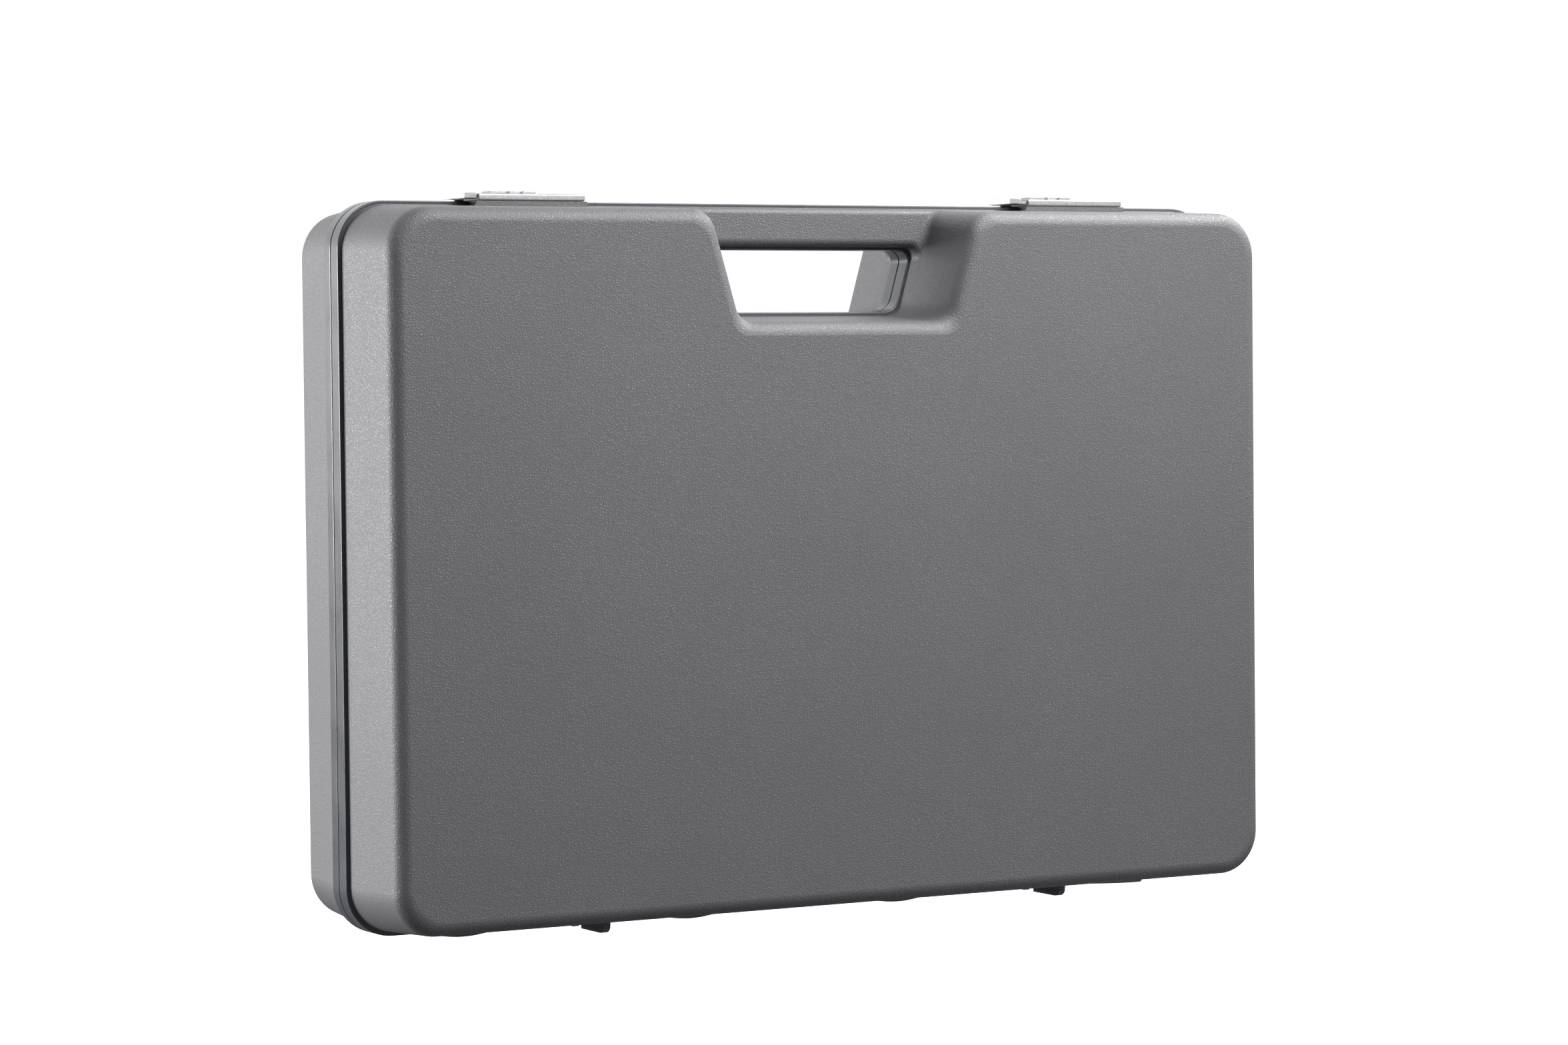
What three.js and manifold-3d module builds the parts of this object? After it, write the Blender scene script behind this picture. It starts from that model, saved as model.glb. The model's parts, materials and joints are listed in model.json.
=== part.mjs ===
// Carrying case with a half-inch-drive socket wrench set, standing closed on its hinge side.
// Millimetres. X runs along the case, Y from its front (the lid) to its back (the base), Z up.
// The shells part in the plane Y = 0. Ground is Z = 0.
import * as THREE from 'three';
import { mergeVertices } from 'three/addons/utils/BufferGeometryUtils.js';
import Module from 'manifold-3d';

const wasm = await Module();
wasm.setup();

// ---- Driving dimensions ----

const GAP = 0.3; // running and seating clearance between pieces
const FAR = 60; // how far a cutting tool runs past what it cuts

// Case shells
const HALF_WIDTH = 200; // at the rim
const RIM_TOP = 284.05;
const RIM_BOTTOM = 3.45;
const LID_DEPTH = 47.4;
const BASE_DEPTH = 39.6;
const LID_RIM = 7; // how much of each shell's depth is rim
const BASE_RIM = 6.5;
const PARTING = 0.15; // from the parting plane to each rim
const RIM_STEP = 1.6; // the rim stands this proud of the side walls
const DRAFT = 1.8; // lean of the side walls between rim and edge fillet
const WALL = 2.2;
const EDGE_R = 6; // fillet between side walls and face
const CORNER_R = 19; // corners of the rim outline

// Hand-hold: a recess in both faces with a grip bar across its top
const HOLD_HALF = 45.6; // half width of the window's floor at the rim
const HOLD_FLOOR = 241.05;
const HOLD_SLOPE = 0.29; // how fast its sides spread with height
const HOLD_SIDE_STEP = 1.1; // its sides stand back this far behind the window's edges
const HOLD_SIDE_DRAFT = 2.3;
const HOLD_FLOOR_DRAFT = 4.1;
const HOLD_R = 8; // its lower corners
const HOLD_TOP_R = 10; // where its sides meet the top of the case
const BAR_BOTTOM = 266.05;
const BAR_HALF_DEPTH = 14;

// Hinges along the bottom of the rim
const HINGE_X = 98; // middle of each hinge
const HINGE_LENGTH = 124;
const HINGE_END_LENGTH = 24; // the base's knuckle at each end
const KNUCKLE_R = 2.75; // the knuckles touch the ground
const HINGE_Z = KNUCKLE_R;
const MIDDLE_R = 1.9; // the lid's knuckle between them
const PIN_R = 0.8;
const FOOT_X = [-97.5, 113];
const FOOT_THICK = 2.8;
const LID_FOOT_END = 24;
const BASE_FOOT_END = 20;
const FOOT_INNER = 3.6; // the feet leave this much room around the hinge axis

// Latches on the top of the rim
const LATCH_X = [-121.3, 128.3];
const LATCH_OUT = [0, 3]; // how far each slide stands out at rest
const LATCH_LENGTH = 46;
const LATCH_FRONT = 14;
const LATCH_BACK = 8;
const LATCH_HEIGHT = 2.7;
const SHEET = 0.7;
const SLIDE_TRAVEL = 5;
const TAB_LENGTH = 5.4;
const TAB_RISE = 0.4;
const RIB_HEIGHT = 1.2;
const RIB_LENGTHS = [7.6, 5, 6];
const RIB_GAP = 0.9;
const RIB_START = 6.5; // from the housing's left end to the first rib
const RIB_FRONT = -9.2;
const RIB_BACK = -1.8;
const RIVET_R = 1.5;
const RIVET_OFFSET = 15;
const KEEPER_WIDTH = 4;
const DOME_R = 8; // the shallow dome on each housing
const DOME_RISE = 0.6;

// Inserts
const TRAY_FACE = 2; // behind the parting plane
const TRAY_SHEET = 1.6;
const POCKET_FLOOR = 34.4;
const POCKET_GAP = 0.6; // between a tool and its pocket
const SEAM = 0.05; // between the tray's face and its troughs
const PAD_THICK = 8;

// Half-inch-drive tools
const DRIVE = 12.7;
const DRIVE_LENGTH = 13;
const SOCKET_SIZES = [
  [30, 27, 24, 22, 21, 19],
  [18, 17, 15, 14, 13, 12, 11, 10],
];
const SOCKET_LENGTH = 38;
const SOCKET_DRIVE_R = 11.2;
const SOCKET_SEAT = 33; // the drive ends stand here, just clear of the pocket floors
const SOCKET_ROW_GAP = 14;
const TOOL_DEPTH = 9; // the lying tools' axes
const HEAD_R = 19;
const HEAD_HALF = 10;
const COVER_SEAT = 2; // the head's wall around its cover
const NECK_LENGTH = 34;
const LEVER_X = 14.8; // the lever's pivot from the head's centre
const LEVER_PIN_R = 1.1;
const LEVER_LENGTH = 12;
const LEVER_THICK = 2.2;
const LEVER_R = 4;
const GEAR_R = 12;
const GEAR_TEETH = 24;
const COLLAR_R = 7; // the gear's collar in the cover
const BUTTON_R = 3;
const BUTTON_RISE = 2;
const RATCHET_LENGTH = 250;
const SHAFT_R = 7;
const GRIP_R = 13.5;
const GRIP_LENGTH = 118;
const BAR_R = 6.5;
const T_BAR_LENGTH = 250;
const T_HEAD_R = 11.5;
const T_HEAD_HALF = 11;
const LONG_EXTENSION = 250;
const SHORT_EXTENSION = 125;
const EXTENSION_R = 6.2;
const FEMALE_R = 11.2;
const FEMALE_LENGTH = 26;
const PLUG_SIZES = [21, 16];
const PLUG_LENGTH = 66;
const YOKE_R = 12.5;
const YOKE_REACH = 13; // from the joint's centre to each yoke's solid end
const YOKE_ARM = 3.6;
const YOKE_TIP = 5;
const YOKE_ARM_HALF = 4.4; // half the width of each arm
const TRUNNION_R = 2.2;
const CROSS_HALF = 5;

// Colours
const paint = (color, roughness, metalness = 0) =>
  new THREE.MeshStandardMaterial({ color, roughness, metalness });
const GREY_PLASTIC = paint(0x55555b, 0.55);
const BLACK_PLASTIC = paint(0x1d1e20, 0.5);
const FOAM = paint(0x2a2a2c, 0.95);
const ZINC_STEEL = paint(0x9d9da0, 0.35, 1);
const CHROME = paint(0xd0d2d4, 0.15, 1);
const DARK_STEEL = paint(0x4a4b4d, 0.4, 1);
const RUBBER = paint(0x161616, 0.8);

const model = new THREE.Group();
model.position.y = (LID_DEPTH - BASE_DEPTH) / 2; // the origin is under the middle of the whole case

// ---- Solids ----

function toSolid(geometry) {
  const bare = geometry.clone();
  bare.deleteAttribute('normal');
  bare.deleteAttribute('uv');
  const merged = mergeVertices(bare, 1e-4);
  let triangles = Uint32Array.from(merged.index.array);
  const points = merged.attributes.position.array;
  if (signedVolume(points, triangles) < 0) triangles = triangles.reverse();
  return new wasm.Manifold(new wasm.Mesh({
    numProp: 3,
    vertProperties: Float32Array.from(points),
    triVerts: triangles,
  }));
}

function signedVolume(points, triangles) {
  let total = 0;
  for (let t = 0; t < triangles.length; t += 3) {
    const [a, b, c] = [0, 1, 2].map((k) => new THREE.Vector3().fromArray(points, 3 * triangles[t + k]));
    total += a.dot(b.cross(c));
  }
  return total;
}

function addPart(name, solid, material, parent = model) {
  const made = solid.getMesh();
  const geometry = new THREE.BufferGeometry();
  geometry.setAttribute('position', new THREE.BufferAttribute(Float32Array.from(made.vertProperties), 3));
  geometry.setIndex(new THREE.BufferAttribute(Uint32Array.from(made.triVerts), 1));
  geometry.computeVertexNormals();
  const mesh = new THREE.Mesh(geometry, material);
  mesh.name = name;
  parent.add(mesh);
  return mesh;
}

const union = (solids) => solids.reduce((whole, next) => whole.add(next));

function block(low, high) {
  const size = low.map((value, k) => high[k] - value);
  const middle = low.map((value, k) => (value + high[k]) / 2);
  return toSolid(new THREE.BoxGeometry(...size).translate(...middle));
}

// A round bar between two heights along one axis, centred on the other two coordinates.
function rod(axis, radius, from, to, centre, sides = 16) {
  const geometry = new THREE.CylinderGeometry(radius, radius, to - from, sides);
  geometry.translate(0, (from + to) / 2, 0);
  if (axis === 'x') geometry.rotateZ(-Math.PI / 2);
  if (axis === 'z') geometry.rotateX(Math.PI / 2);
  return toSolid(geometry.translate(...centre));
}

// A turned piece: points are [radius, height] from one end to the other, on the Y axis.
function turned(points, sides = 20) {
  const profile = points.map(([radius, height]) => new THREE.Vector2(radius, height));
  return toSolid(new THREE.LatheGeometry(profile, sides));
}

function regular(sides, acrossFlats) {
  const radius = acrossFlats / 2 / Math.cos(Math.PI / sides);
  const points = [];
  for (let k = 0; k < sides; k += 1) {
    const turn = (2 * Math.PI * (k + 0.5)) / sides;
    points.push([radius * Math.cos(turn), radius * Math.sin(turn)]);
  }
  return points;
}

// A prism with its outline in the XZ plane, between two Y values.
function prismY(points, from, to) {
  return loft([{ y: from, points }, { y: to, points }]);
}

// A prism with its outline in the YZ plane, between two X values.
function prismX(points, from, to) {
  const shape = new THREE.Shape(points.map(([y, z]) => new THREE.Vector2(y, z)));
  const geometry = new THREE.ExtrudeGeometry(shape, { depth: to - from, bevelEnabled: false });
  geometry.rotateX(Math.PI / 2).rotateZ(Math.PI / 2).translate(from, 0, 0);
  return toSolid(geometry);
}

// A skin through outlines of equal point counts, closed with a flat cap at each end.
function loft(sections) {
  const count = sections[0].points.length;
  const positions = sections.flatMap(({ y, points }) => points.flatMap(([x, z]) => [x, y, z]));
  const index = [];
  for (let s = 0; s + 1 < sections.length; s += 1) {
    for (let k = 0; k < count; k += 1) {
      const [a, b] = [s * count + k, s * count + ((k + 1) % count)];
      index.push(a, b, b + count, a, b + count, a + count);
    }
  }
  const capped = (section, offset, flip) => {
    const flat = section.points.map(([x, z]) => new THREE.Vector2(x, z));
    for (const face of THREE.ShapeUtils.triangulateShape(flat, [])) {
      const [a, b, c] = face.map((k) => k + offset);
      index.push(...(flip ? [c, b, a] : [a, b, c]));
    }
  };
  const first = sections[0].points.map(([x, z]) => new THREE.Vector2(x, z));
  const clockwise = THREE.ShapeUtils.isClockWise(first);
  capped(sections[0], 0, !clockwise);
  capped(sections.at(-1), count * (sections.length - 1), clockwise);
  const geometry = new THREE.BufferGeometry();
  geometry.setAttribute('position', new THREE.Float32BufferAttribute(positions, 3));
  geometry.setIndex(index);
  return toSolid(geometry);
}

function arc(x, z, radius, from, to, steps = 5) {
  const points = [];
  for (let k = 0; k <= steps; k += 1) {
    const turn = THREE.MathUtils.degToRad(from + ((to - from) * k) / steps);
    points.push([x + radius * Math.cos(turn), z + radius * Math.sin(turn)]);
  }
  return points;
}

// ---- Case outlines: every one is the rim outline moved inwards ----

function caseOutline(inset) {
  const radius = Math.max(CORNER_R - inset, 2);
  const x = HALF_WIDTH - inset - radius;
  const [low, high] = [RIM_BOTTOM + inset + radius, RIM_TOP - inset - radius];
  return [
    ...arc(x, low, radius, -90, 0),
    ...arc(x, high, radius, 0, 90),
    ...arc(-x, high, radius, 90, 180),
    ...arc(-x, low, radius, 180, 270),
  ];
}

const holdHalfAt = (z, side) => HOLD_HALF + HOLD_SLOPE * (z - HOLD_FLOOR) + side;

// One side of the hand-hold, from its floor up: the lower corner's arc, then a flare at the top.
function holdOutline(side, floorDrop, top) {
  const floor = HOLD_FLOOR - floorDrop;
  const lean = THREE.MathUtils.radToDeg(Math.atan(HOLD_SLOPE));
  const spread = Math.hypot(1, HOLD_SLOPE);
  const lowX = holdHalfAt(floor + HOLD_R, side) - HOLD_R * spread;
  const flareX = holdHalfAt(top - HOLD_TOP_R, side) + HOLD_TOP_R * spread;
  const right = [
    ...arc(lowX, floor + HOLD_R, HOLD_R, -90, -lean, 4),
    ...arc(flareX, top - HOLD_TOP_R, HOLD_TOP_R, 180 - lean, 90, 4),
    [flareX, top + FAR],
  ];
  return [...right, ...right.map(([x, z]) => [-x, z]).reverse()];
}

// Levels of a shell between its rim's step and its face: distance from the parting plane and inset.
function wallLevels(depth, rim, extra) {
  const levels = [{ away: rim, inset: RIM_STEP + extra }];
  const radius = Math.max(EDGE_R - extra, 1);
  const start = depth - extra - radius;
  for (const turn of [0, 22.5, 45, 67.5, 90]) {
    const angle = THREE.MathUtils.degToRad(turn);
    levels.push({
      away: start + radius * Math.sin(angle),
      inset: RIM_STEP + DRAFT + extra + radius * (1 - Math.cos(angle)),
    });
  }
  return levels;
}

const holdShare = (away, depth, rim) =>
  THREE.MathUtils.clamp((away - rim) / (depth - EDGE_R - rim), 0, 1);

// The recess cut into a face for the hand, grown by extra when it cuts what must stand clear of it.
function holdRecess(side, depth, rim, extra) {
  const sections = [];
  const stations = [BAR_HALF_DEPTH - extra, depth - EDGE_R, ...[25, 50, 70, 90].map((turn) =>
    depth - EDGE_R + EDGE_R * Math.sin(THREE.MathUtils.degToRad(turn))), depth + FAR];
  for (const away of stations) {
    const share = holdShare(away, depth, rim);
    const up = THREE.MathUtils.clamp((away - (depth - EDGE_R)) / EDGE_R, 0, 1);
    const flare = EDGE_R * (1 - Math.sqrt(1 - up * up));
    const top = RIM_TOP - RIM_STEP - share * DRAFT - flare;
    sections.push({
      y: side * away,
      points: holdOutline(
        HOLD_SIDE_STEP + share * (HOLD_SIDE_DRAFT - HOLD_SIDE_STEP) + flare + extra,
        RIM_STEP + share * (HOLD_FLOOR_DRAFT - RIM_STEP) + flare + extra,
        top,
      ),
    });
  }
  return loft(sections);
}

function windowOutline(grow) {
  const lean = THREE.MathUtils.radToDeg(Math.atan(HOLD_SLOPE));
  const spread = Math.hypot(1, HOLD_SLOPE);
  const [floor, top] = [HOLD_FLOOR - grow, BAR_BOTTOM + grow];
  const lowX = holdHalfAt(floor + HOLD_R, grow) - HOLD_R * spread;
  const right = [...arc(lowX, floor + HOLD_R, HOLD_R, -90, -lean, 4), [holdHalfAt(top, grow), top]];
  return [...right, ...right.map(([x, z]) => [-x, z]).reverse()];
}

// The window under the grip bar: its edges stand proud in the rim, like the rim outside.
function holdWindow(side, rim, extra) {
  const [inner, outer] = [-2, BAR_HALF_DEPTH + 2].map((away) => side * away);
  const atRim = prismY(windowOutline(extra), Math.min(inner, outer), Math.max(inner, outer));
  const [from, to] = [side * rim, outer].sort((a, b) => a - b);
  return atRim.add(prismY(windowOutline(extra + HOLD_SIDE_STEP), from, to));
}

function shellBody(side, depth, rim) {
  const outer = union([
    loft([PARTING, rim].map((away) => ({ y: side * away, points: caseOutline(0) }))),
    loft([{ away: PARTING, inset: RIM_STEP }, ...wallLevels(depth, rim, 0)]
      .map(({ away, inset }) => ({ y: side * away, points: caseOutline(inset) }))),
  ]);
  const inner = loft([{ away: -1, inset: RIM_STEP + WALL }, ...wallLevels(depth, rim, WALL)]
    .map(({ away, inset }) => ({ y: side * away, points: caseOutline(inset) })));
  const hold = holdRecess(side, depth, rim, 0).add(holdWindow(side, rim, 0));
  const holdWall = holdRecess(side, depth, rim, WALL).add(holdWindow(side, rim, WALL));
  return outer.subtract(hold).subtract(inner.subtract(holdWall));
}

// ---- Hinges and feet ----

const HINGES = [-HINGE_X, HINGE_X];

function knuckleEnds(centre) {
  const [left, right] = [centre - HINGE_LENGTH / 2, centre + HINGE_LENGTH / 2];
  return [[left, left + HINGE_END_LENGTH], [right - HINGE_END_LENGTH, right]];
}

function middleSpan(centre) {
  const reach = HINGE_LENGTH / 2 - HINGE_END_LENGTH - GAP;
  return [centre - reach, centre + reach];
}

// A knuckle that swells smoothly towards its middle.
function swollenKnuckle(from, to) {
  const points = [[0, from]];
  const thin = PIN_R + 0.7;
  for (let k = 0; k <= 6; k += 1) {
    const share = k / 6;
    points.push([thin + (KNUCKLE_R - thin) * Math.sin(Math.PI * share), from + (to - from) * share]);
  }
  points.push([0, to]);
  const profile = points.map(([radius, height]) => new THREE.Vector2(radius, height));
  const geometry = new THREE.LatheGeometry(profile, 16).rotateZ(-Math.PI / 2);
  return toSolid(geometry.translate(0, 0, HINGE_Z));
}

const hingeRod = (radius, from, to) => rod('x', radius, from, to, [0, 0, HINGE_Z]);

function foot(x, side, end) {
  const top = RIM_BOTTOM + RIM_STEP + DRAFT + 0.6;
  const outline = [[FOOT_INNER, 0], [end - 3.5, 0], [end - 0.8, 1.6], [end, top], [FOOT_INNER, top]];
  return prismX(outline.map(([y, z]) => [side * y, z]), x - FOOT_THICK / 2, x + FOOT_THICK / 2);
}

// ---- Latches ----

const LATCH_FLOOR = RIM_TOP + 0.1;
const LATCH_TOP = LATCH_FLOOR + LATCH_HEIGHT;

const rivetPlaces = (x) => [-RIVET_OFFSET, RIVET_OFFSET].map((offset) => [x + offset, -LATCH_FRONT + 3.5]);

function latchBoss(x) {
  const [left, right] = [x - LATCH_LENGTH / 2, x + LATCH_LENGTH / 2];
  const low = RIM_TOP - RIM_STEP - DRAFT;
  const outline = [[left - 6, low], [left - 1, RIM_TOP], [right + 0.6, RIM_TOP], [right + 1.6, low]];
  return prismY(outline, -LATCH_FRONT - 0.3, -LID_RIM + 0.5);
}

function latchHousing(x) {
  const [left, right] = [x - LATCH_LENGTH / 2, x + LATCH_LENGTH / 2];
  const [front, back] = [-LATCH_FRONT, LATCH_BACK];
  const shell = block([left, front, LATCH_FLOOR], [right, back, LATCH_TOP]);
  const roof = LATCH_TOP - SHEET;
  const inside = block([left - 1, front + SHEET, LATCH_FLOOR + SHEET], [right - SHEET, back - SHEET, roof]);
  const floorTop = LATCH_FLOOR + SHEET;
  const under = block([left - 1, -1, LATCH_FLOOR - 1], [right - SHEET, back - SHEET, floorTop + 0.1]);
  const keeperWay = block([x - 8, -1, LATCH_FLOOR - 1], [x + 8, back + 1, roof]);
  const ribsEnd = left + RIB_START + ribsLength();
  const [ribsLow, ribsHigh] = [RIB_FRONT - 0.8, RIB_BACK + 0.8];
  const ribWay = block([left + 0.9, ribsLow, LATCH_TOP - 2], [ribsEnd + 1, ribsHigh, LATCH_TOP + 1]);
  const dome = toSolid(new THREE.SphereGeometry(1, 16, 8).rotateX(Math.PI / 2)
    .scale(DOME_R, DOME_R, DOME_RISE).translate(right - DOME_R - 1, (front + back) / 2, LATCH_TOP - 0.05));
  const holes = rivetPlaces(x).map(([rx, ry]) =>
    rod('z', RIVET_R + GAP, LATCH_FLOOR - 1, floorTop + 0.05, [rx, ry, 0], 12));
  const open = shell.subtract(union([inside, under, keeperWay, ribWay]));
  return open.add(dome).subtract(union(holes));
}

const ribsLength = () => RIB_LENGTHS.reduce((sum, length) => sum + length, 2 * RIB_GAP);

function latchSlide(x) {
  const [left, right] = [x - LATCH_LENGTH / 2, x + LATCH_LENGTH / 2];
  const [front, back] = [-LATCH_FRONT + SHEET + GAP, LATCH_BACK - SHEET - GAP];
  const [low, high] = [LATCH_FLOOR + SHEET + 0.2, LATCH_TOP - SHEET - 0.2];
  const end = left - TAB_LENGTH;
  const profile = [
    [end, low - 0.2], [left - GAP, low], [right - SHEET - GAP - 1, low], [right - SHEET - GAP - 1, high],
    [left - GAP, high], [left - 1, LATCH_TOP], [end, LATCH_TOP + TAB_RISE],
  ];
  const plate = prismY(profile, front, back);
  const slotEnd = x + KEEPER_WIDTH / 2 + SLIDE_TRAVEL + 1;
  const keeperSlot = block([x - KEEPER_WIDTH / 2 - 1, -1, low - 2], [slotEnd, back + 1, high + 2]);
  const ribs = [];
  let at = left + RIB_START;
  for (const length of RIB_LENGTHS) {
    const [root, crest] = [high - 0.1, LATCH_TOP + RIB_HEIGHT];
    const outline = [[at, root], [at + 0.8, crest], [at + length, crest], [at + length, root]];
    ribs.push(prismY(outline, RIB_FRONT, RIB_BACK));
    at += length + RIB_GAP;
  }
  return union([plate.subtract(keeperSlot), ...ribs]);
}

function latchKeeper(x) {
  const foot = block([x - 5, 1.2, RIM_TOP + 0.1], [x + 5, 5.8, RIM_TOP + 0.7]);
  const [half, top] = [KEEPER_WIDTH / 2, LATCH_TOP - SHEET - 0.2];
  const post = block([x - half, 2, RIM_TOP + 0.4], [x + half, 5, top]);
  return foot.add(post);
}

function rivet() {
  const under = RIM_TOP - RIM_STEP - DRAFT - WALL - 0.2;
  const top = LATCH_FLOOR + SHEET;
  const head = [[0, under - 1.5], [2.4, under - 1.5], [3, under]];
  return turned([...head, [RIVET_R, under], [RIVET_R, top], [0, top]], 12);
}

function addLatches() {
  LATCH_X.forEach((x, k) => {
    const side = ['left', 'right'][k];
    addPart(`latch_housing_${side}`, latchHousing(x), ZINC_STEEL);
    addPart(`latch_slide_${side}`, latchSlide(x), ZINC_STEEL).position.x = -LATCH_OUT[k];
    addPart(`latch_keeper_${side}`, latchKeeper(x), ZINC_STEEL);
    rivetPlaces(x).forEach(([rx, ry], r) => {
      const pin = addPart(`latch_rivet_${side}_${r + 1}`, rivet(), ZINC_STEEL);
      pin.rotation.x = Math.PI / 2;
      pin.position.set(rx, ry, 0);
    });
  });
}

// ---- Shells ----

function addLid() {
  const middles = HINGES.map((x) => hingeRod(MIDDLE_R, ...middleSpan(x)));
  const bores = HINGES.map((x) => hingeRod(PIN_R + GAP, x - HINGE_LENGTH, x + HINGE_LENGTH));
  const rooms = HINGES.flatMap(knuckleEnds).map(([a, b]) => hingeRod(KNUCKLE_R + GAP, a - GAP, b + GAP));
  const feet = FOOT_X.map((x) => foot(x, -1, LID_FOOT_END));
  const rivetHoles = LATCH_X.flatMap(rivetPlaces)
    .map(([x, y]) => rod('z', RIVET_R + GAP, RIM_TOP - 12, RIM_TOP + 1, [x, y, 0], 12));
  const body = union([shellBody(-1, LID_DEPTH, LID_RIM).subtract(union(rooms)), ...LATCH_X.map(latchBoss)]);
  const whole = union([body, ...middles, ...feet]).subtract(union([...bores, ...rivetHoles]));
  addPart('lid_shell', whole, GREY_PLASTIC);
}

function addBase() {
  const ends = HINGES.flatMap(knuckleEnds).map(([a, b]) => swollenKnuckle(a, b));
  const bores = HINGES.map((x) => hingeRod(PIN_R + GAP, x - HINGE_LENGTH, x + HINGE_LENGTH));
  const rooms = HINGES.map(middleSpan).map(([a, b]) => hingeRod(MIDDLE_R + GAP, a - GAP, b + GAP));
  const feet = FOOT_X.map((x) => foot(x, 1, BASE_FOOT_END));
  const whole = union([shellBody(1, BASE_DEPTH, BASE_RIM).subtract(union(rooms)), ...ends, ...feet]);
  addPart('base_shell', whole.subtract(union(bores)), GREY_PLASTIC);
  HINGES.forEach((x, k) => {
    const reach = HINGE_LENGTH / 2 - 1.5;
    addPart(`hinge_pin_${['left', 'right'][k]}`, hingeRod(PIN_R, x - reach, x + reach), ZINC_STEEL);
  });
}

function addPad() {
  const inset = RIM_STEP + DRAFT + WALL + EDGE_R;
  const face = LID_DEPTH - WALL - GAP;
  const slab = prismY(caseOutline(inset), -face, -face + PAD_THICK);
  const pad = slab.subtract(holdRecess(-1, LID_DEPTH, LID_RIM, WALL + 1.5));
  addPart('lid_pad', pad, FOAM);
}

// ---- Tools. Each is built about its own axis, Y, and knows the pocket that it needs. ----

const squareBar = (from, to, size = DRIVE) => prismY(regular(4, size), from, to);

const socketRadius = (size) => 0.64 * size + 1.3;

function socket(size, length = SOCKET_LENGTH) {
  const mouth = socketRadius(size);
  const drive = Math.max(SOCKET_DRIVE_R, mouth * 0.72);
  const body = turned([
    [0, 0], [drive - 0.7, 0], [drive, 0.7], [drive, 13], [mouth, 17],
    [mouth, length - 0.6], [mouth - 0.6, length], [0, length],
  ]);
  const seat = 0.42 * length;
  const hex = prismY(regular(6, size + 0.2), seat, length + 1);
  return body.subtract(hex.add(squareBar(-1, seat + 0.5, DRIVE + 0.3)));
}

// Extension bar from its square end (at 0) to its hollow end.
function extension(length) {
  const body = turned([
    [0, DRIVE_LENGTH - 1], [FEMALE_R - 2.6, DRIVE_LENGTH - 1], [FEMALE_R - 2, DRIVE_LENGTH + 3],
    [EXTENSION_R, DRIVE_LENGTH + 9], [EXTENSION_R, length - FEMALE_LENGTH - 5],
    [FEMALE_R, length - FEMALE_LENGTH], [FEMALE_R, length - 0.8], [FEMALE_R - 0.8, length], [0, length],
  ], 16);
  const hollow = squareBar(length - DRIVE_LENGTH - 2, length + 1, DRIVE + 0.3);
  return body.add(squareBar(0, DRIVE_LENGTH)).subtract(hollow);
}

function plugSocket(size) {
  const [mouth, drive] = [socketRadius(size), SOCKET_DRIVE_R];
  const body = turned([
    [0, 0], [drive - 0.7, 0], [drive, 0.7], [drive, 14], [mouth, 18],
    [mouth, PLUG_LENGTH - 0.6], [mouth - 0.6, PLUG_LENGTH], [0, PLUG_LENGTH],
  ]);
  const hex = prismY(regular(6, size + 0.2), 18, PLUG_LENGTH + 1);
  return body.subtract(hex.add(squareBar(-1, 18.5, DRIVE + 0.3)));
}

function adaptor() {
  const outline = [[0, 0], [FEMALE_R - 0.8, 0], [FEMALE_R, 0.8], [FEMALE_R, 16], [8, 22], [8, 26], [0, 26]];
  const body = turned(outline);
  return body.subtract(squareBar(-1, 14, DRIVE + 0.3)).add(squareBar(25.5, 36, 9.5));
}

// Half of a universal joint, on the +Y side of the joint's centre, with its arms at X = +-.
function yoke(solidTo, spread) {
  const body = rod('y', YOKE_R, YOKE_REACH, solidTo, [0, 0, 0], 20);
  const cylinder = rod('y', YOKE_R, -YOKE_TIP, YOKE_REACH + 1, [0, 0, 0], 20);
  const keep = [-1, 1].map((side) => {
    const [from, to] = [side * (YOKE_R - YOKE_ARM), side * (YOKE_R + 1)].sort((a, b) => a - b);
    return block([from, -YOKE_TIP, -spread], [to, YOKE_REACH + 1, spread]);
  });
  return body.add(cylinder.intersect(union(keep)));
}

function addUniversalJoint(place) {
  const centre = new THREE.Group();
  centre.position.set(...place);
  model.add(centre);
  const holes = rod('x', TRUNNION_R + GAP, -YOKE_R - 1, YOKE_R + 1, [0, 0, 0], 12);
  const lower = yoke(SOCKET_SEAT, YOKE_ARM_HALF).subtract(holes)
    .subtract(squareBar(SOCKET_SEAT - DRIVE_LENGTH - 1, SOCKET_SEAT + 1, DRIVE + 0.3));
  addPart('joint_lower_yoke', lower, CHROME, centre);
  const reach = YOKE_R - 0.4;
  const cross = union([
    block([-CROSS_HALF, -CROSS_HALF, -CROSS_HALF], [CROSS_HALF, CROSS_HALF, CROSS_HALF]),
    rod('x', TRUNNION_R, -reach, reach, [0, 0, 0], 12),
    rod('z', TRUNNION_R, -reach, reach, [0, 0, 0], 12),
  ]);
  addPart('joint_cross', cross, DARK_STEEL, centre);
  const upperEnd = YOKE_REACH + 7;
  const tip = squareBar(upperEnd - 1, upperEnd + DRIVE_LENGTH - 1);
  const upper = yoke(upperEnd, YOKE_ARM_HALF).subtract(holes).add(tip);
  const mesh = addPart('joint_upper_yoke', upper, CHROME, centre);
  mesh.rotation.set(Math.PI, Math.PI / 2, 0);
}

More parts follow.
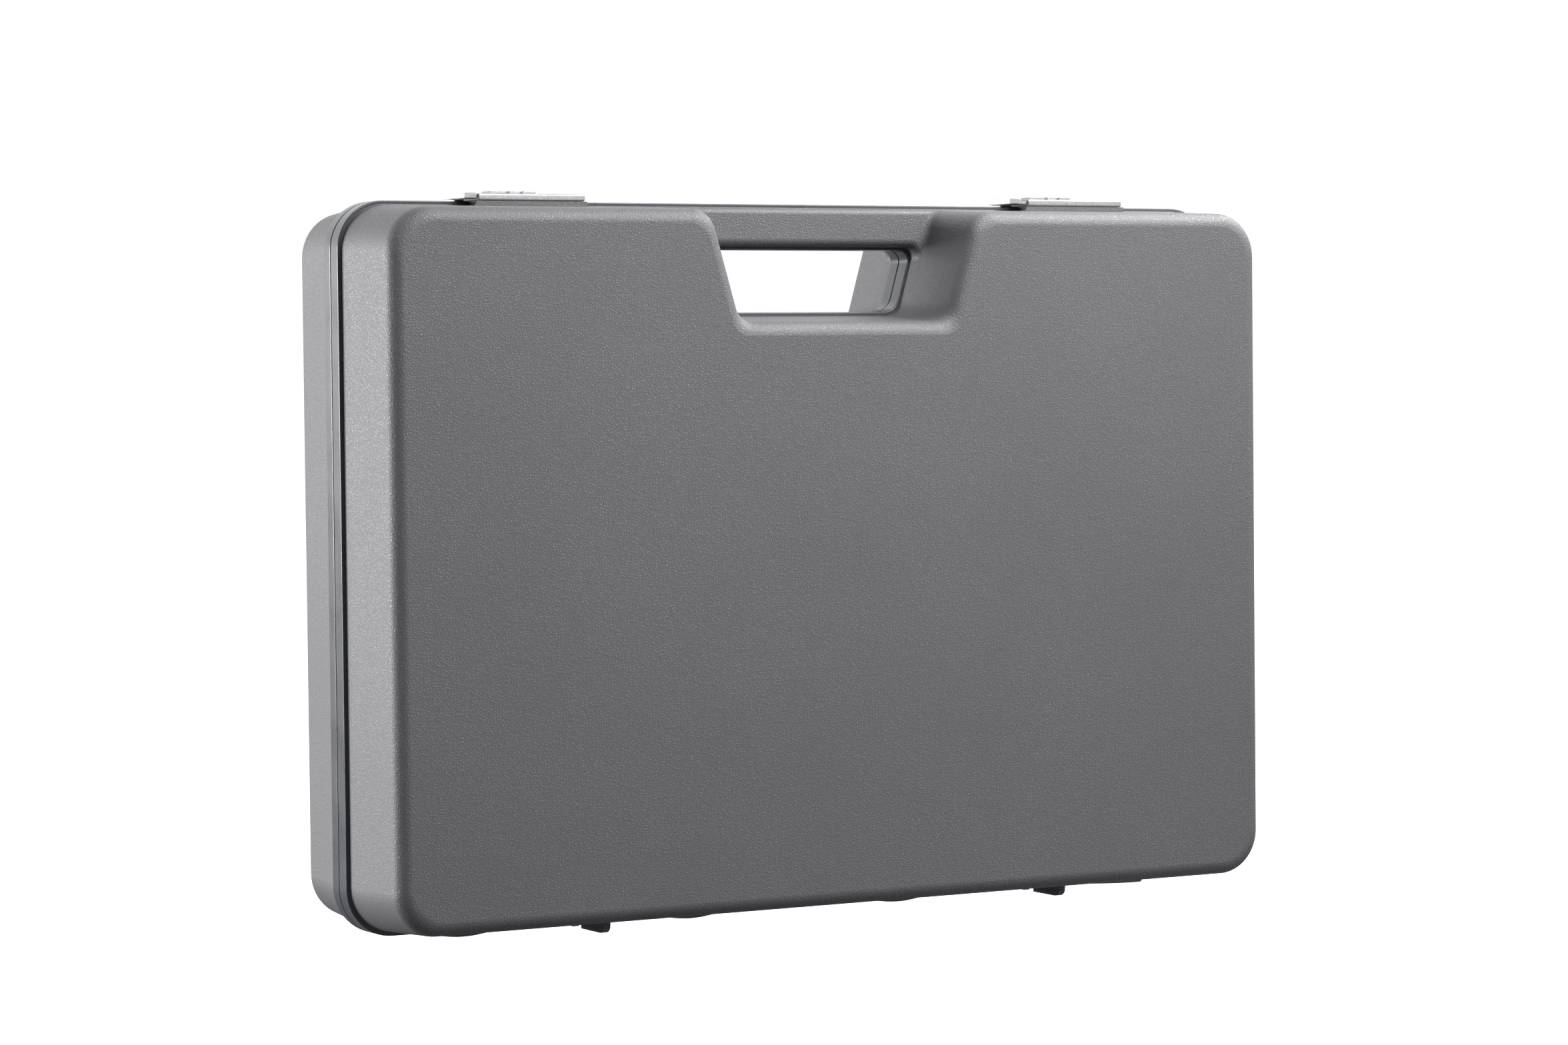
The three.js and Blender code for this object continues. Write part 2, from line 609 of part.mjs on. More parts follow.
// The ratchet lies along +X with its head at the origin, its drive towards +Y and its lever towards -Y.
function addRatchet(place) {
  const group = new THREE.Group();
  group.position.set(...place);
  model.add(group);
  const gripStart = RATCHET_LENGTH - HEAD_R - GRIP_LENGTH;
  const head = rod('y', HEAD_R, -HEAD_HALF, HEAD_HALF, [0, 0, 0], 28);
  const neckStart = HEAD_R - 4;
  const neck = toSolid(new THREE.CylinderGeometry(SHAFT_R, HEAD_HALF - 1, NECK_LENGTH, 16)
    .rotateZ(-Math.PI / 2).translate(neckStart + NECK_LENGTH / 2, 0, 0));
  const shaft = rod('x', SHAFT_R, neckStart + 0.7 * NECK_LENGTH, RATCHET_LENGTH - HEAD_R - 12, [0, 0, 0]);
  const gearRoom = rod('y', GEAR_R + GAP, -HEAD_HALF - 1, HEAD_HALF + 1, [0, 0, 0], 24);
  const pawlRoom = block([GEAR_R - 2, -4, -6], [HEAD_R, 4, 6]);
  const coverRoom = rod('y', HEAD_R - COVER_SEAT, -HEAD_HALF - 1, -HEAD_HALF + 2, [0, 0, 0], 28);
  const leverHole = rod('y', LEVER_PIN_R + GAP, -HEAD_HALF - 1, 0, [LEVER_X, 0, 0], 12);
  const body = union([head, neck, shaft]).subtract(union([gearRoom, pawlRoom, coverRoom, leverHole]));
  addPart('ratchet_body', body, CHROME, group);

  const collarFront = -HEAD_HALF - 0.6;
  const cover = rod('y', HEAD_R - COVER_SEAT - GAP, collarFront, -HEAD_HALF + 1.8, [0, 0, 0], 28)
    .subtract(rod('y', COLLAR_R + GAP, -HEAD_HALF - 2, -HEAD_HALF + 3, [0, 0, 0], 20))
    .subtract(leverHole);
  addPart('ratchet_cover', cover, CHROME, group);

  const teeth = [];
  for (let k = 0; k < 2 * GEAR_TEETH; k += 1) {
    const turn = (Math.PI * k) / GEAR_TEETH;
    const radius = k % 2 ? GEAR_R : GEAR_R - 1;
    teeth.push([radius * Math.cos(turn), radius * Math.sin(turn)]);
  }
  const wheel = prismY(teeth, -HEAD_HALF + 2.2, HEAD_HALF - 1)
    .add(rod('y', COLLAR_R, collarFront, -HEAD_HALF + 3, [0, 0, 0], 20))
    .add(squareBar(HEAD_HALF - 2, HEAD_HALF + DRIVE_LENGTH))
    .subtract(rod('y', BUTTON_R + GAP, -HEAD_HALF - 2, -HEAD_HALF + 6, [0, 0, 0], 12));
  addPart('ratchet_gear', wheel, DARK_STEEL, group);
  const button = rod('y', BUTTON_R, collarFront - BUTTON_RISE, -HEAD_HALF + 3, [0, 0, 0], 12);
  addPart('release_button', button, DARK_STEEL, group);

  const pawl = block([GEAR_R + 1, -3.6, -3.2], [HEAD_R - 2.6, -0.4, 3.2])
    .subtract(rod('y', LEVER_PIN_R + GAP, -6, 6, [LEVER_X, 0, 0], 12));
  addPart('ratchet_pawl', pawl, DARK_STEEL, group);
  const leverFront = -HEAD_HALF - 1 - LEVER_THICK;
  const lever = union([
    rod('y', LEVER_PIN_R, -HEAD_HALF - 1.2, -1, [LEVER_X, 0, 0], 12),
    rod('y', LEVER_R, leverFront, leverFront + LEVER_THICK, [LEVER_X, 0, 0], 16),
    block([LEVER_X, leverFront, -2.4], [LEVER_X + LEVER_LENGTH, leverFront + LEVER_THICK, 2.4]),
  ]);
  addPart('reversing_lever', lever, DARK_STEEL, group);

  const grip = turned([
    [0, 0], [GRIP_R - 4, 0], [GRIP_R - 1.5, 6], [GRIP_R - 2.5, 30], [GRIP_R, 70],
    [GRIP_R, GRIP_LENGTH - 8], [GRIP_R - 4, GRIP_LENGTH], [0, GRIP_LENGTH],
  ]).subtract(rod('y', SHAFT_R + GAP, -1, GRIP_LENGTH - 11.5, [0, 0, 0]));
  const sleeve = addPart('ratchet_grip', grip, RUBBER, group);
  sleeve.rotation.z = -Math.PI / 2;
  sleeve.position.x = gripStart;
}

function addTBar(place) {
  const group = new THREE.Group();
  group.position.set(...place);
  model.add(group);
  const half = T_BAR_LENGTH / 2;
  const stop = { length: 6, radius: BAR_R + 1.5 };
  const bar = union([
    rod('x', BAR_R, -half, half, [0, 0, 0]),
    ...[-half, half - stop.length].map((at) => rod('x', stop.radius, at, at + stop.length, [0, 0, 0])),
  ]);
  addPart('t_bar', bar, CHROME, group);
  const head = rod('y', T_HEAD_R, -T_HEAD_HALF, T_HEAD_HALF, [0, 0, 0], 20)
    .add(squareBar(T_HEAD_HALF - 1, T_HEAD_HALF + DRIVE_LENGTH - 1))
    .subtract(rod('x', BAR_R + GAP, -T_HEAD_R - 2, T_HEAD_R + 2, [0, 0, 0]));
  addPart('t_bar_head', head, CHROME, group);
}

// ---- Layout in the tray ----

const TRAY_LEFT = -(HALF_WIDTH - RIM_STEP - DRAFT - WALL - EDGE_R);
const TRAY_BOTTOM = RIM_BOTTOM + RIM_STEP + DRAFT + WALL + EDGE_R;
const MARGIN = 5;

const RATCHET_Z = TRAY_BOTTOM + MARGIN + HEAD_R;
const RATCHET_X = TRAY_LEFT + MARGIN + HEAD_R;
const T_BAR_Z = RATCHET_Z + HEAD_R + MARGIN + T_HEAD_R;
const LONG_Z = T_BAR_Z + T_HEAD_R + MARGIN + FEMALE_R;
const LYING_LEFT = TRAY_LEFT + MARGIN;
const RIGHT_COLUMN = -LYING_LEFT - PLUG_LENGTH - MARGIN;
const BIG_ROW_Z = LONG_Z + FEMALE_R + MARGIN + socketRadius(SOCKET_SIZES[0][0]);
const SMALL_ROW_Z = BIG_ROW_Z + socketRadius(SOCKET_SIZES[0][0]) + MARGIN + socketRadius(SOCKET_SIZES[1][0]);
const CORNER_Z = HOLD_FLOOR + 6;
const pockets = [];

// A trough for one tool or one row of tools, made of square-cornered rooms, each with its own floor. It hangs
// behind a hole in the tray's face.
function addTrough(name, ...rooms) {
  const grown = (grow) => union(rooms.map(({ low, high, floor = POCKET_FLOOR }) => block(
    [low[0] - grow, -5, low[1] - grow],
    [high[0] + grow, floor + grow, high[1] + grow],
  )));
  pockets.push(grown(0));
  const front = block([-HALF_WIDTH, -6, 0], [HALF_WIDTH, TRAY_FACE + TRAY_SHEET + SEAM, RIM_TOP]);
  addPart(name, grown(TRAY_SHEET).subtract(grown(0)).subtract(front), BLACK_PLASTIC);
}

function around(x, z, half) {
  return { low: [x - half, z - half], high: [x + half, z + half] };
}

function addSockets() {
  SOCKET_SIZES.forEach((sizes, row) => {
    const z = [BIG_ROW_Z, SMALL_ROW_Z][row];
    const radii = sizes.map((size) => Math.max(socketRadius(size), SOCKET_DRIVE_R));
    const total = radii.reduce((sum, radius) => sum + 2 * radius, SOCKET_ROW_GAP * (sizes.length - 1));
    let x = -total / 2;
    sizes.forEach((size, k) => {
      x += radii[k];
      const mesh = addPart(`socket_${size}`, socket(size), CHROME);
      mesh.rotation.x = Math.PI;
      mesh.position.set(x, SOCKET_SEAT, z);
      x += radii[k] + SOCKET_ROW_GAP;
    });
    const [halfLength, halfWidth] = [total / 2 + POCKET_GAP, radii[0] + POCKET_GAP];
    const name = ['large_socket_trough', 'small_socket_trough'][row];
    addTrough(name, { low: [-halfLength, z - halfWidth], high: [halfLength, z + halfWidth] });
  });
}

// A tool built along Y is laid along X, pointing right.
function lay(mesh, x, z) {
  mesh.rotation.z = -Math.PI / 2;
  mesh.position.set(x, TOOL_DEPTH, z);
}

function addLyingTools() {
  addRatchet([RATCHET_X, TOOL_DEPTH, RATCHET_Z]);
  const handleEnd = RATCHET_X + RATCHET_LENGTH - HEAD_R + POCKET_GAP;
  const handleHalf = GRIP_R + POCKET_GAP;
  const handleFloor = TOOL_DEPTH + handleHalf;
  addTrough('ratchet_trough', around(RATCHET_X, RATCHET_Z, HEAD_R + POCKET_GAP), {
    low: [RATCHET_X, RATCHET_Z - handleHalf],
    high: [handleEnd, RATCHET_Z + handleHalf],
    floor: handleFloor,
  });

  addTBar([LYING_LEFT + T_BAR_LENGTH / 2 + 1, TOOL_DEPTH, T_BAR_Z]);
  const headHalf = T_HEAD_R + POCKET_GAP;
  addTrough('t_bar_trough', {
    low: [LYING_LEFT, T_BAR_Z - headHalf],
    high: [LYING_LEFT + T_BAR_LENGTH + 2, T_BAR_Z + headHalf],
  });

  const femaleHalf = FEMALE_R + POCKET_GAP;
  const beds = [
    ['extension_long', LONG_EXTENSION, LYING_LEFT, LONG_Z],
    ['extension_short', SHORT_EXTENSION, -SHORT_EXTENSION / 2, SMALL_ROW_Z + 2 * FEMALE_R + MARGIN + 2],
  ];
  for (const [name, length, x, z] of beds) {
    lay(addPart(name, extension(length), CHROME), x + 3, z);
    addTrough(`${name}_trough`, {
      low: [x, z - femaleHalf],
      high: [x + length + 8, z + femaleHalf],
      floor: TOOL_DEPTH + femaleHalf,
    });
  }
  PLUG_SIZES.forEach((size, k) => {
    const z = RATCHET_Z - 4 + k * (2 * socketRadius(PLUG_SIZES[0]) + MARGIN);
    const half = socketRadius(PLUG_SIZES[0]) + POCKET_GAP;
    lay(addPart(`spark_plug_socket_${size}`, plugSocket(size), CHROME), RIGHT_COLUMN, z);
    addTrough(`spark_plug_trough_${size}`, {
      low: [RIGHT_COLUMN - 3, z - half],
      high: [RIGHT_COLUMN + PLUG_LENGTH + 3, z + half],
      floor: TOOL_DEPTH + half,
    });
  });
}

function addStandingTools() {
  const corner = (TRAY_LEFT - HOLD_HALF - 30) / 2;
  addUniversalJoint([corner, 0, CORNER_Z]);
  addTrough('joint_trough', around(corner, CORNER_Z, Math.hypot(YOKE_R, YOKE_TIP) + POCKET_GAP));
  const mesh = addPart('drive_adaptor', adaptor(), CHROME);
  mesh.rotation.x = Math.PI;
  mesh.position.set(-corner, SOCKET_SEAT, CORNER_Z);
  addTrough('adaptor_trough', around(-corner, CORNER_Z, FEMALE_R + POCKET_GAP));
}

// The tray's face is a flat sheet inside the base's walls, clear of the hand-hold. It has a hole for each
// trough.
function addTray() {
  const [first] = wallLevels(BASE_DEPTH, BASE_RIM, WALL + GAP + 0.3);
  const sheet = prismY(caseOutline(first.inset), TRAY_FACE, TRAY_FACE + TRAY_SHEET);
  const half = holdHalfAt(RIM_TOP, WALL + HOLD_TOP_R);
  const barRoom = block([-half, -5, HOLD_FLOOR - 4], [half, FAR, RIM_TOP + 5]);
  const holdRoom = holdRecess(1, BASE_DEPTH, BASE_RIM, WALL + 1);
  const windowRoom = prismY(windowOutline(WALL + 3), -5, FAR);
  addPart('tray', sheet.subtract(union([barRoom, holdRoom, windowRoom, ...pockets])), BLACK_PLASTIC);
}

addBase();
addLid();
addPad();
addLatches();
addSockets();
addLyingTools();
addStandingTools();
addTray();

export default model;
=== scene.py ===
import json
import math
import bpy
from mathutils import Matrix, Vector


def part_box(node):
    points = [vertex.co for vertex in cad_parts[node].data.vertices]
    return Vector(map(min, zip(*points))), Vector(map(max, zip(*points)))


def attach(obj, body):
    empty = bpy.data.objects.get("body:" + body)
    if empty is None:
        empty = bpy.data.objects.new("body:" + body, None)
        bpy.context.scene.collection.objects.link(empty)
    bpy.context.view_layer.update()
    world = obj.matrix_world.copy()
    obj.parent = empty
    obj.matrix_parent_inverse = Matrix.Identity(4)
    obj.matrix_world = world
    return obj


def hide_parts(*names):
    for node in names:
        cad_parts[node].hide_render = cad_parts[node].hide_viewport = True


bl_info = {
    "name": "Socket Wrench Case",
    "version": (1, 0, 0),
    "blender": (4, 5, 0),
    "location": "3D View > Sidebar > Socket Case",
    "description": "Builds a moulded carrying case and the socket wrench set in it",
    "category": "Add Mesh",
}

import bmesh
import bpy
import numpy as np
from bpy.props import FloatProperty, FloatVectorProperty, IntProperty, PointerProperty
from mathutils import Matrix, Vector

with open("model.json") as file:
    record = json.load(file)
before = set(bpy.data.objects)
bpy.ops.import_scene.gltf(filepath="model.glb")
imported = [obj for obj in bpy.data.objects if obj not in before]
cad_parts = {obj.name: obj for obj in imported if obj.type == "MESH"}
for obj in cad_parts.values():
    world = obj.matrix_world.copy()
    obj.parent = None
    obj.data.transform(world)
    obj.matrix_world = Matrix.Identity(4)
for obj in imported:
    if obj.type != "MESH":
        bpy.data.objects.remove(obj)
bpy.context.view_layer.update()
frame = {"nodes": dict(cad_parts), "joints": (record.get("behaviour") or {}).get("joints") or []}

JOINTS = {joint["name"]: joint for joint in frame["joints"]}
PARTING_Y, HINGE_Z = JOINTS["lid_hinge"]["pos_m"][1:]
HALF_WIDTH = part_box("base_shell")[1].x
RIM_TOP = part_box("base_shell")[1].z
LID_DEPTH = PARTING_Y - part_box("lid_shell")[0].y
BASE_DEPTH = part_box("base_shell")[1].y - PARTING_Y
FAR = 0.06  # how far cutters reach past the case
PAST = 0.001  # how far cutters reach past a small piece
DRIVE_END = 0.0112  # radius of the tools' hollow drive ends
SQUARE_PLAY = 0.00015  # half of the play round a drive square


def length(name, description, default):
    return FloatProperty(name=name, description=description, default=default, unit="LENGTH", precision=4)


def tint(name, description, default):
    return FloatVectorProperty(
        name=name, description=description, default=default, subtype="COLOR", min=0, max=1
    )


def angle(name, description, degrees):
    return FloatProperty(name=name, description=description, default=math.radians(degrees), subtype="ANGLE")


class CaseSizes(bpy.types.PropertyGroup):
    """Sizes of the two moulded shells"""

    rim_bottom: length("Rim bottom", "Height of the rims above the ground", 0.00345)
    gap: length("Parting gap", "From the parting plane to each rim", 0.00015)
    lid_rim: length("Lid rim", "How deep the lid's rim is", 0.007)
    base_rim: length("Base rim", "How deep the base's rim is", 0.0065)
    rim_step: length("Rim step", "How far the rims stand proud of the walls", 0.0016)
    rim_round: length("Rim rounding", "Radius of the rims' edges", 0.0005)
    draft: length("Draft", "Lean of the walls between rim and face", 0.0018)
    wall: length("Wall", "Thickness of the shells", 0.0022)
    edge_radius: length("Edge radius", "Fillet between walls and face", 0.006)
    corner_radius: length("Corner radius", "Corners of the rim's outline", 0.019)
    hold_half: length("Hand-hold half width", "Half the width of the window's floor", 0.0456)
    hold_floor: length("Hand-hold floor", "Height of the window's floor", 0.24105)
    hold_side_step: length("Side step", "How far the recess stands back from the window's edges", 0.0011)
    hold_side_draft: length("Side draft", "Spread of the recess's sides at the face", 0.0023)
    hold_floor_draft: length("Floor draft", "Drop of the recess's floor at the face", 0.0041)
    hold_radius: length("Lower corners", "Radius of the hand-hold's lower corners", 0.008)
    hold_flare: length("Upper corners", "Radius where its sides meet the top of the case", 0.010)
    hold_slope: FloatProperty(name="Side slope", description="Spread of the sides with height", default=0.29)
    window_round: length("Window corners", "Radius of the window's upper corners", 0.0045)
    bar_bottom: length("Bar bottom", "Height of the grip bar's underside", 0.26605)
    bar_half: length("Bar half depth", "From the parting plane to the bar's face", 0.014)
    bar_top_round: length("Bar top edge", "Radius of the bar's upper edges", 0.0022)
    bar_low_round: length("Bar lower edge", "Radius of the bar's lower edges", 0.0032)
    bar_corner: length("Bar corner", "Concave fillet where the bar meets the recess", 0.003)


class HingeSizes(bpy.types.PropertyGroup):
    """Sizes of the moulded hinges and the feet beside them"""

    middle: length("Hinge middle", "From the case's middle to each hinge's middle", 0.098)
    span: length("Hinge length", "Length of each hinge", 0.124)
    end_span: length("End knuckle", "Length of the base's knuckles", 0.024)
    outer_extra: length("Outer knuckle", "How much longer the outermost right knuckle is", 0.007)
    knuckle: length("Knuckle radius", "Radius of the base's swollen knuckles", 0.00275)
    inner_knuckle: length("Middle knuckle radius", "Radius of the lid's knuckle", 0.0019)
    clearance: length("Clearance", "Running clearance", 0.0003)
    pin: length("Pin radius", "Radius of the hinge pin", 0.0008)
    foot_left: length("Left foot", "Place of the left pair of feet", -0.0975)
    foot_right: length("Right foot", "Place of the right pair of feet", 0.113)
    foot_thick: length("Foot thickness", "Thickness of the feet", 0.0028)
    foot_inner: length("Foot start", "Where the feet start beside the hinge axis", 0.0036)
    lid_foot: length("Lid foot", "Where the lid's feet end", 0.024)
    base_foot: length("Base foot", "Where the base's feet end", 0.020)


class LatchSizes(bpy.types.PropertyGroup):
    """Sizes of the pressed-steel latches"""

    sheet: length("Sheet", "Thickness of the steel", 0.0007)
    fold: length("Fold", "Outer radius of the folded edges", 0.0007)
    tab: length("Tab", "How far the slide's tab reaches past its plate", 0.0054)
    dome: length("Dome radius", "Radius of the shallow dome", 0.008)
    dome_rise: length("Dome rise", "Rise of the shallow dome", 0.0005)
    rib_gap: length("Rib gap", "Gap between thumb ribs", 0.0009)


class ToolSizes(bpy.types.PropertyGroup):
    """Sizes of the half-inch-drive tools"""

    drive: length("Drive square", "Across the flats of the drive squares", 0.0127)
    socket: length("Socket length", "Length of the standing sockets", 0.038)
    spark_socket: length("Spark plug socket length", "Length of the spark plug sockets", 0.066)
    chamfer: length("Chamfer", "Edge chamfers of the turned tools", 0.0007)
    groove: length("Groove", "Depth of the turned grooves", 0.00035)
    pocket_lip: length("Pocket lip", "Radius of the tray's pocket edges", 0.0016)
    pocket_gap: length("Pocket gap", "Between a tool and its pocket", 0.0006)
    pocket_wall: length("Pocket wall", "Between the wide joint's pocket and its trough's outside", 0.0016)
    foam_round: length("Foam rounding", "Softness of the foam's edges", 0.0022)
    sides: IntProperty(name="Sides", description="Facets round each turned tool", default=96)


class Finishes(bpy.types.PropertyGroup):
    """Colours of the finishes"""

    case_grey: tint("Case grey", "Grained plastic of the shells", (0.108, 0.107, 0.114))
    # Darker than the case grey though the rims are the same moulded plastic: painted shade, standing in for
    # the dark reflection that the smooth rims catch.
    rim_shaded_grey: tint("Rim grey", "Smooth plastic of the rims", (0.056, 0.059, 0.067))
    zinc: tint("Zinc", "Plated latch steel", (0.40, 0.395, 0.40))
    chrome: tint("Chrome", "Satin chrome of the tools", (0.62, 0.63, 0.65))
    dark_steel: tint("Dark steel", "Hardened steel", (0.16, 0.16, 0.165))
    tray_black: tint("Tray black", "Formed tray", (0.016, 0.016, 0.018))
    foam_grey: tint("Foam grey", "Foam pad", (0.035, 0.035, 0.038))
    rubber_black: tint("Rubber black", "Ratchet grip", (0.014, 0.014, 0.015))
    grain: length("Grain", "Width of the leather grain's cells", 0.00105)
    grain_depth: length("Grain depth", "Depth of the leather grain", 0.00011)


class StageSizes(bpy.types.PropertyGroup):
    """Camera, lights and floor"""

    camera: FloatVectorProperty(
        name="Camera", description="Place of the camera", default=(-0.86526, -1.5198, 0.21963),
        unit="LENGTH", precision=4,
    )
    yaw: angle("Yaw", "Turn from +Y towards +X", 29.49)
    pitch: angle("Pitch", "Downward tilt", 2.06)
    roll: angle("Roll", "Roll about the view", -0.60)
    lens: FloatProperty(name="Lens", description="Focal length in millimetres on a 36 mm sensor", default=100)
    floor_drop: length("Floor", "How far the floor lies below the case, so that the lid can swing", 0.105)
    floor_size: length("Floor size", "Width of the floor", 14.0)


# ---- Meshes ----


def as_piece(name, points, faces):
    """A closed mesh from points and faces, with its faces turned outwards."""
    mesh = bpy.data.meshes.new(name)
    mesh.from_pydata(points.tolist(), [], faces)
    form = bmesh.new()
    form.from_mesh(mesh)
    bmesh.ops.recalc_face_normals(form, faces=form.faces)
    form.to_mesh(mesh)
    form.free()
    piece = bpy.data.objects.new(name, mesh)
    bpy.context.scene.collection.objects.link(piece)
    return piece


def skin(name, rows, loop=False):
    """Quads between neighbouring rows of points, each row a closed outline. The first and last rows are
    closed with flat polygons, or joined to each other where loop is set."""
    count, around = rows.shape[:2]
    row = np.arange(count if loop else count - 1)[:, None]
    column = np.arange(around)[None, :]
    after_row, after_column = (row + 1) % count, (column + 1) % around
    corners = [row * around + column, row * around + after_column,
               after_row * around + after_column, after_row * around + column]
    faces = np.stack(np.broadcast_arrays(*corners), axis=-1).reshape(-1, 4).tolist()
    if not loop:
        faces.append(list(range(around)))
        faces.append(list(range((count - 1) * around, count * around)))
    return as_piece(name, rows.reshape(-1, 3), faces)


def settle(piece):
    """Puts the result of a piece's modifiers into its mesh."""
    graph = bpy.context.evaluated_depsgraph_get()
    mesh = bpy.data.meshes.new_from_object(
        piece.evaluated_get(graph), preserve_all_data_layers=True, depsgraph=graph
    )
    old = piece.data
    piece.modifiers.clear()
    piece.data = mesh
    bpy.data.meshes.remove(old)
    mesh.name = piece.name
    return piece


def combine(piece, others, operation):
    """Joins other solids to a piece (UNION) or cuts them from it (DIFFERENCE)."""
    group = bpy.data.collections.new("solids")
    bpy.context.scene.collection.children.link(group)
    for other in others:
        group.objects.link(other)
    boolean = piece.modifiers.new("solids", "BOOLEAN")
    boolean.operation = operation
    boolean.solver = "EXACT"
    boolean.operand_type = "COLLECTION"
    boolean.collection = group
    settle(piece)
    for other in others:
        bpy.data.meshes.remove(other.data)
    bpy.data.collections.remove(group)
    return piece


def join(piece, *others):
    return combine(piece, others, "UNION")


def cut(piece, *others):
    return combine(piece, others, "DIFFERENCE")


def bevel(piece, width, segments=3, angle=30):
    """Rounds the edges that are sharper than an angle."""
    rounding = piece.modifiers.new("rounding", "BEVEL")
    rounding.width = width
    rounding.segments = segments
    rounding.limit_method = "ANGLE"
    rounding.angle_limit = math.radians(angle)
    rounding.harden_normals = False
    return settle(piece)


def shade(piece, angle=32):
    """Smooth shading between edges sharper than an angle, led by the larger faces."""
    mesh = piece.data
    mesh.polygons.foreach_set("use_smooth", np.ones(len(mesh.polygons), bool))
    mesh.set_sharp_from_angle(angle=math.radians(angle))
    evening = piece.modifiers.new("evening", "WEIGHTED_NORMAL")
    evening.keep_sharp = True
    return settle(piece)


def wear(piece, *finishes):
    piece.data.materials.clear()
    for material in finishes:
        piece.data.materials.append(material)


def deliver(piece, body, slot, *nodes):
    """Attaches a finished piece to the body that it rides on and hides the CAD nodes that it stands for; its
    slot is not used.
    """
    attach(piece, body)
    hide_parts(*nodes)


def complete(piece, name, body, slot, *nodes, sharp=30):
    """Names and shades a piece in the finish of its slot, and delivers it."""
    piece.name = name
    shade(piece, sharp)
    wear(piece, finish_for(slot))
    deliver(piece, body, slot, *nodes)


# ---- Outlines ----


def quarter(steps, last=90):
    """Angles from 0 to a last one, in radians."""
    return np.radians(np.linspace(0, last, steps))


def arc(centre_x, centre_z, radius, start, end, steps=9):
    """Points centre + radius * (cos, sin) between two angles in degrees."""
    turn = np.radians(np.linspace(start, end, steps))
    return np.stack([centre_x + radius * np.cos(turn), centre_z + radius * np.sin(turn)], axis=-1)


def rounded_rectangle(low, high, radius, steps=9):
    """Four quarter arcs of one radius between two opposite corners."""
    left, bottom = low[0] + radius, low[1] + radius
    right, top = high[0] - radius, high[1] - radius
    return np.concatenate([
        arc(right, bottom, radius, -90, 0, steps), arc(right, top, radius, 0, 90, steps),
        arc(left, top, radius, 90, 180, steps), arc(left, bottom, radius, 180, 270, steps),
    ])


def case_outline(case, inset, steps=15):
    """The rim's outline moved inwards; its corner radius shrinks by half of the inset."""
    half, low, high = HALF_WIDTH - inset, case.rim_bottom + inset, RIM_TOP - inset
    radius = max(case.corner_radius - 0.5 * inset, 0.002)
    return rounded_rectangle((-half, low), (half, high), radius, steps)


def at_depth(side, levels):
    """Rows of points for outlines (x, z), each at its distance from the parting plane, to one side of it."""
    return np.stack([
        np.stack([outline[:, 0], np.full(len(outline), PARTING_Y + side * away), outline[:, 1]], axis=-1)
        for away, outline in levels
    ])


def case_slab(name, case, side, levels):
    """A closed skin over the case's outline at each distance from the parting plane and inset."""
    return skin(name, at_depth(side, [(away, case_outline(case, inset)) for away, inset in levels]))


def wall_profile(case, depth, extra, steps):
    """Distance from the parting plane and inset, from the rim's step through the drafted wall and the fillet
    (a quarter circle) to the face; extra moves it inwards."""
    radius = max(case.edge_radius - extra, 0.001)
    turn = quarter(steps)
    away = depth - extra - radius + radius * np.sin(turn)
    inset = case.rim_step + case.draft + extra + radius * (1 - np.cos(turn))
    return list(zip(away, inset))


def rim_profile(case, rim, outer_round):
    """Distance and inset over the rim: a rounded edge at the parting plane, the flat band, a rounded outer
    edge, the step and a small concave corner behind it."""
    inner, turn = case.rim_round, quarter(5)
    corner = 0.0003
    first = zip(case.gap + inner * (1 - np.cos(turn)), inner * (1 - np.sin(turn)))
    second = zip(rim - outer_round * (1 - np.sin(turn)), outer_round * (1 - np.cos(turn)))
    third = zip(rim + corner * (1 - np.cos(turn)), case.rim_step - corner * (1 - np.sin(turn)))
    return [*first, *second, *third]


# ---- Hand-hold ----


def hold_half_at(case, height, side):
    return case.hold_half + case.hold_slope * (height - case.hold_floor) + side


def hold_share(case, away, depth, rim):
    """0 at the rim and 1 where the fillet to the face starts."""
    return np.clip((away - rim) / (depth - case.edge_radius - rim), 0, 1)


def hold_side(case, share):
    return case.hold_side_step + share * (case.hold_side_draft - case.hold_side_step)


def hold_drop(case, share):
    return case.rim_step + share * (case.hold_floor_draft - case.rim_step)


def mirrored(right):
    """An outline from its right half, which runs from the bottom up."""
    return np.concatenate([right, right[::-1] * [-1, 1]])


def hold_outline(case, side, drop, top, pinch=0.0):
    """A lower corner arc, a leaning side and an arc that flares into the top of the case. pinch draws the
    sides together above the window, fading in over the bar's lower edge (a smoothstep of height)."""
    slope = case.hold_slope
    lean, spread = math.degrees(math.atan(slope)), math.hypot(1, slope)
    floor, radius, flare = case.hold_floor - drop, case.hold_radius, case.hold_flare
    corner_x = hold_half_at(case, floor + radius, side) - radius * spread
    flare_x = hold_half_at(case, top - flare, side) + flare * spread
    corner = arc(corner_x, floor + radius, radius, -90, -lean)
    upper = arc(flare_x, top - flare, flare, 180 - lean, 90, 11)
    run = corner[-1] + (upper[0] - corner[-1]) * np.linspace(0, 1, 16)[1:-1, None]
    right = np.concatenate([corner, run, upper, [[flare_x, top + FAR]]])
    fade_below, fade = 0.002, 0.007
    share = np.clip((right[:, 1] - case.bar_bottom + fade_below) / fade, 0, 1)
    right[:, 0] -= pinch * share ** 2 * (3 - 2 * share)
    return mirrored(right)


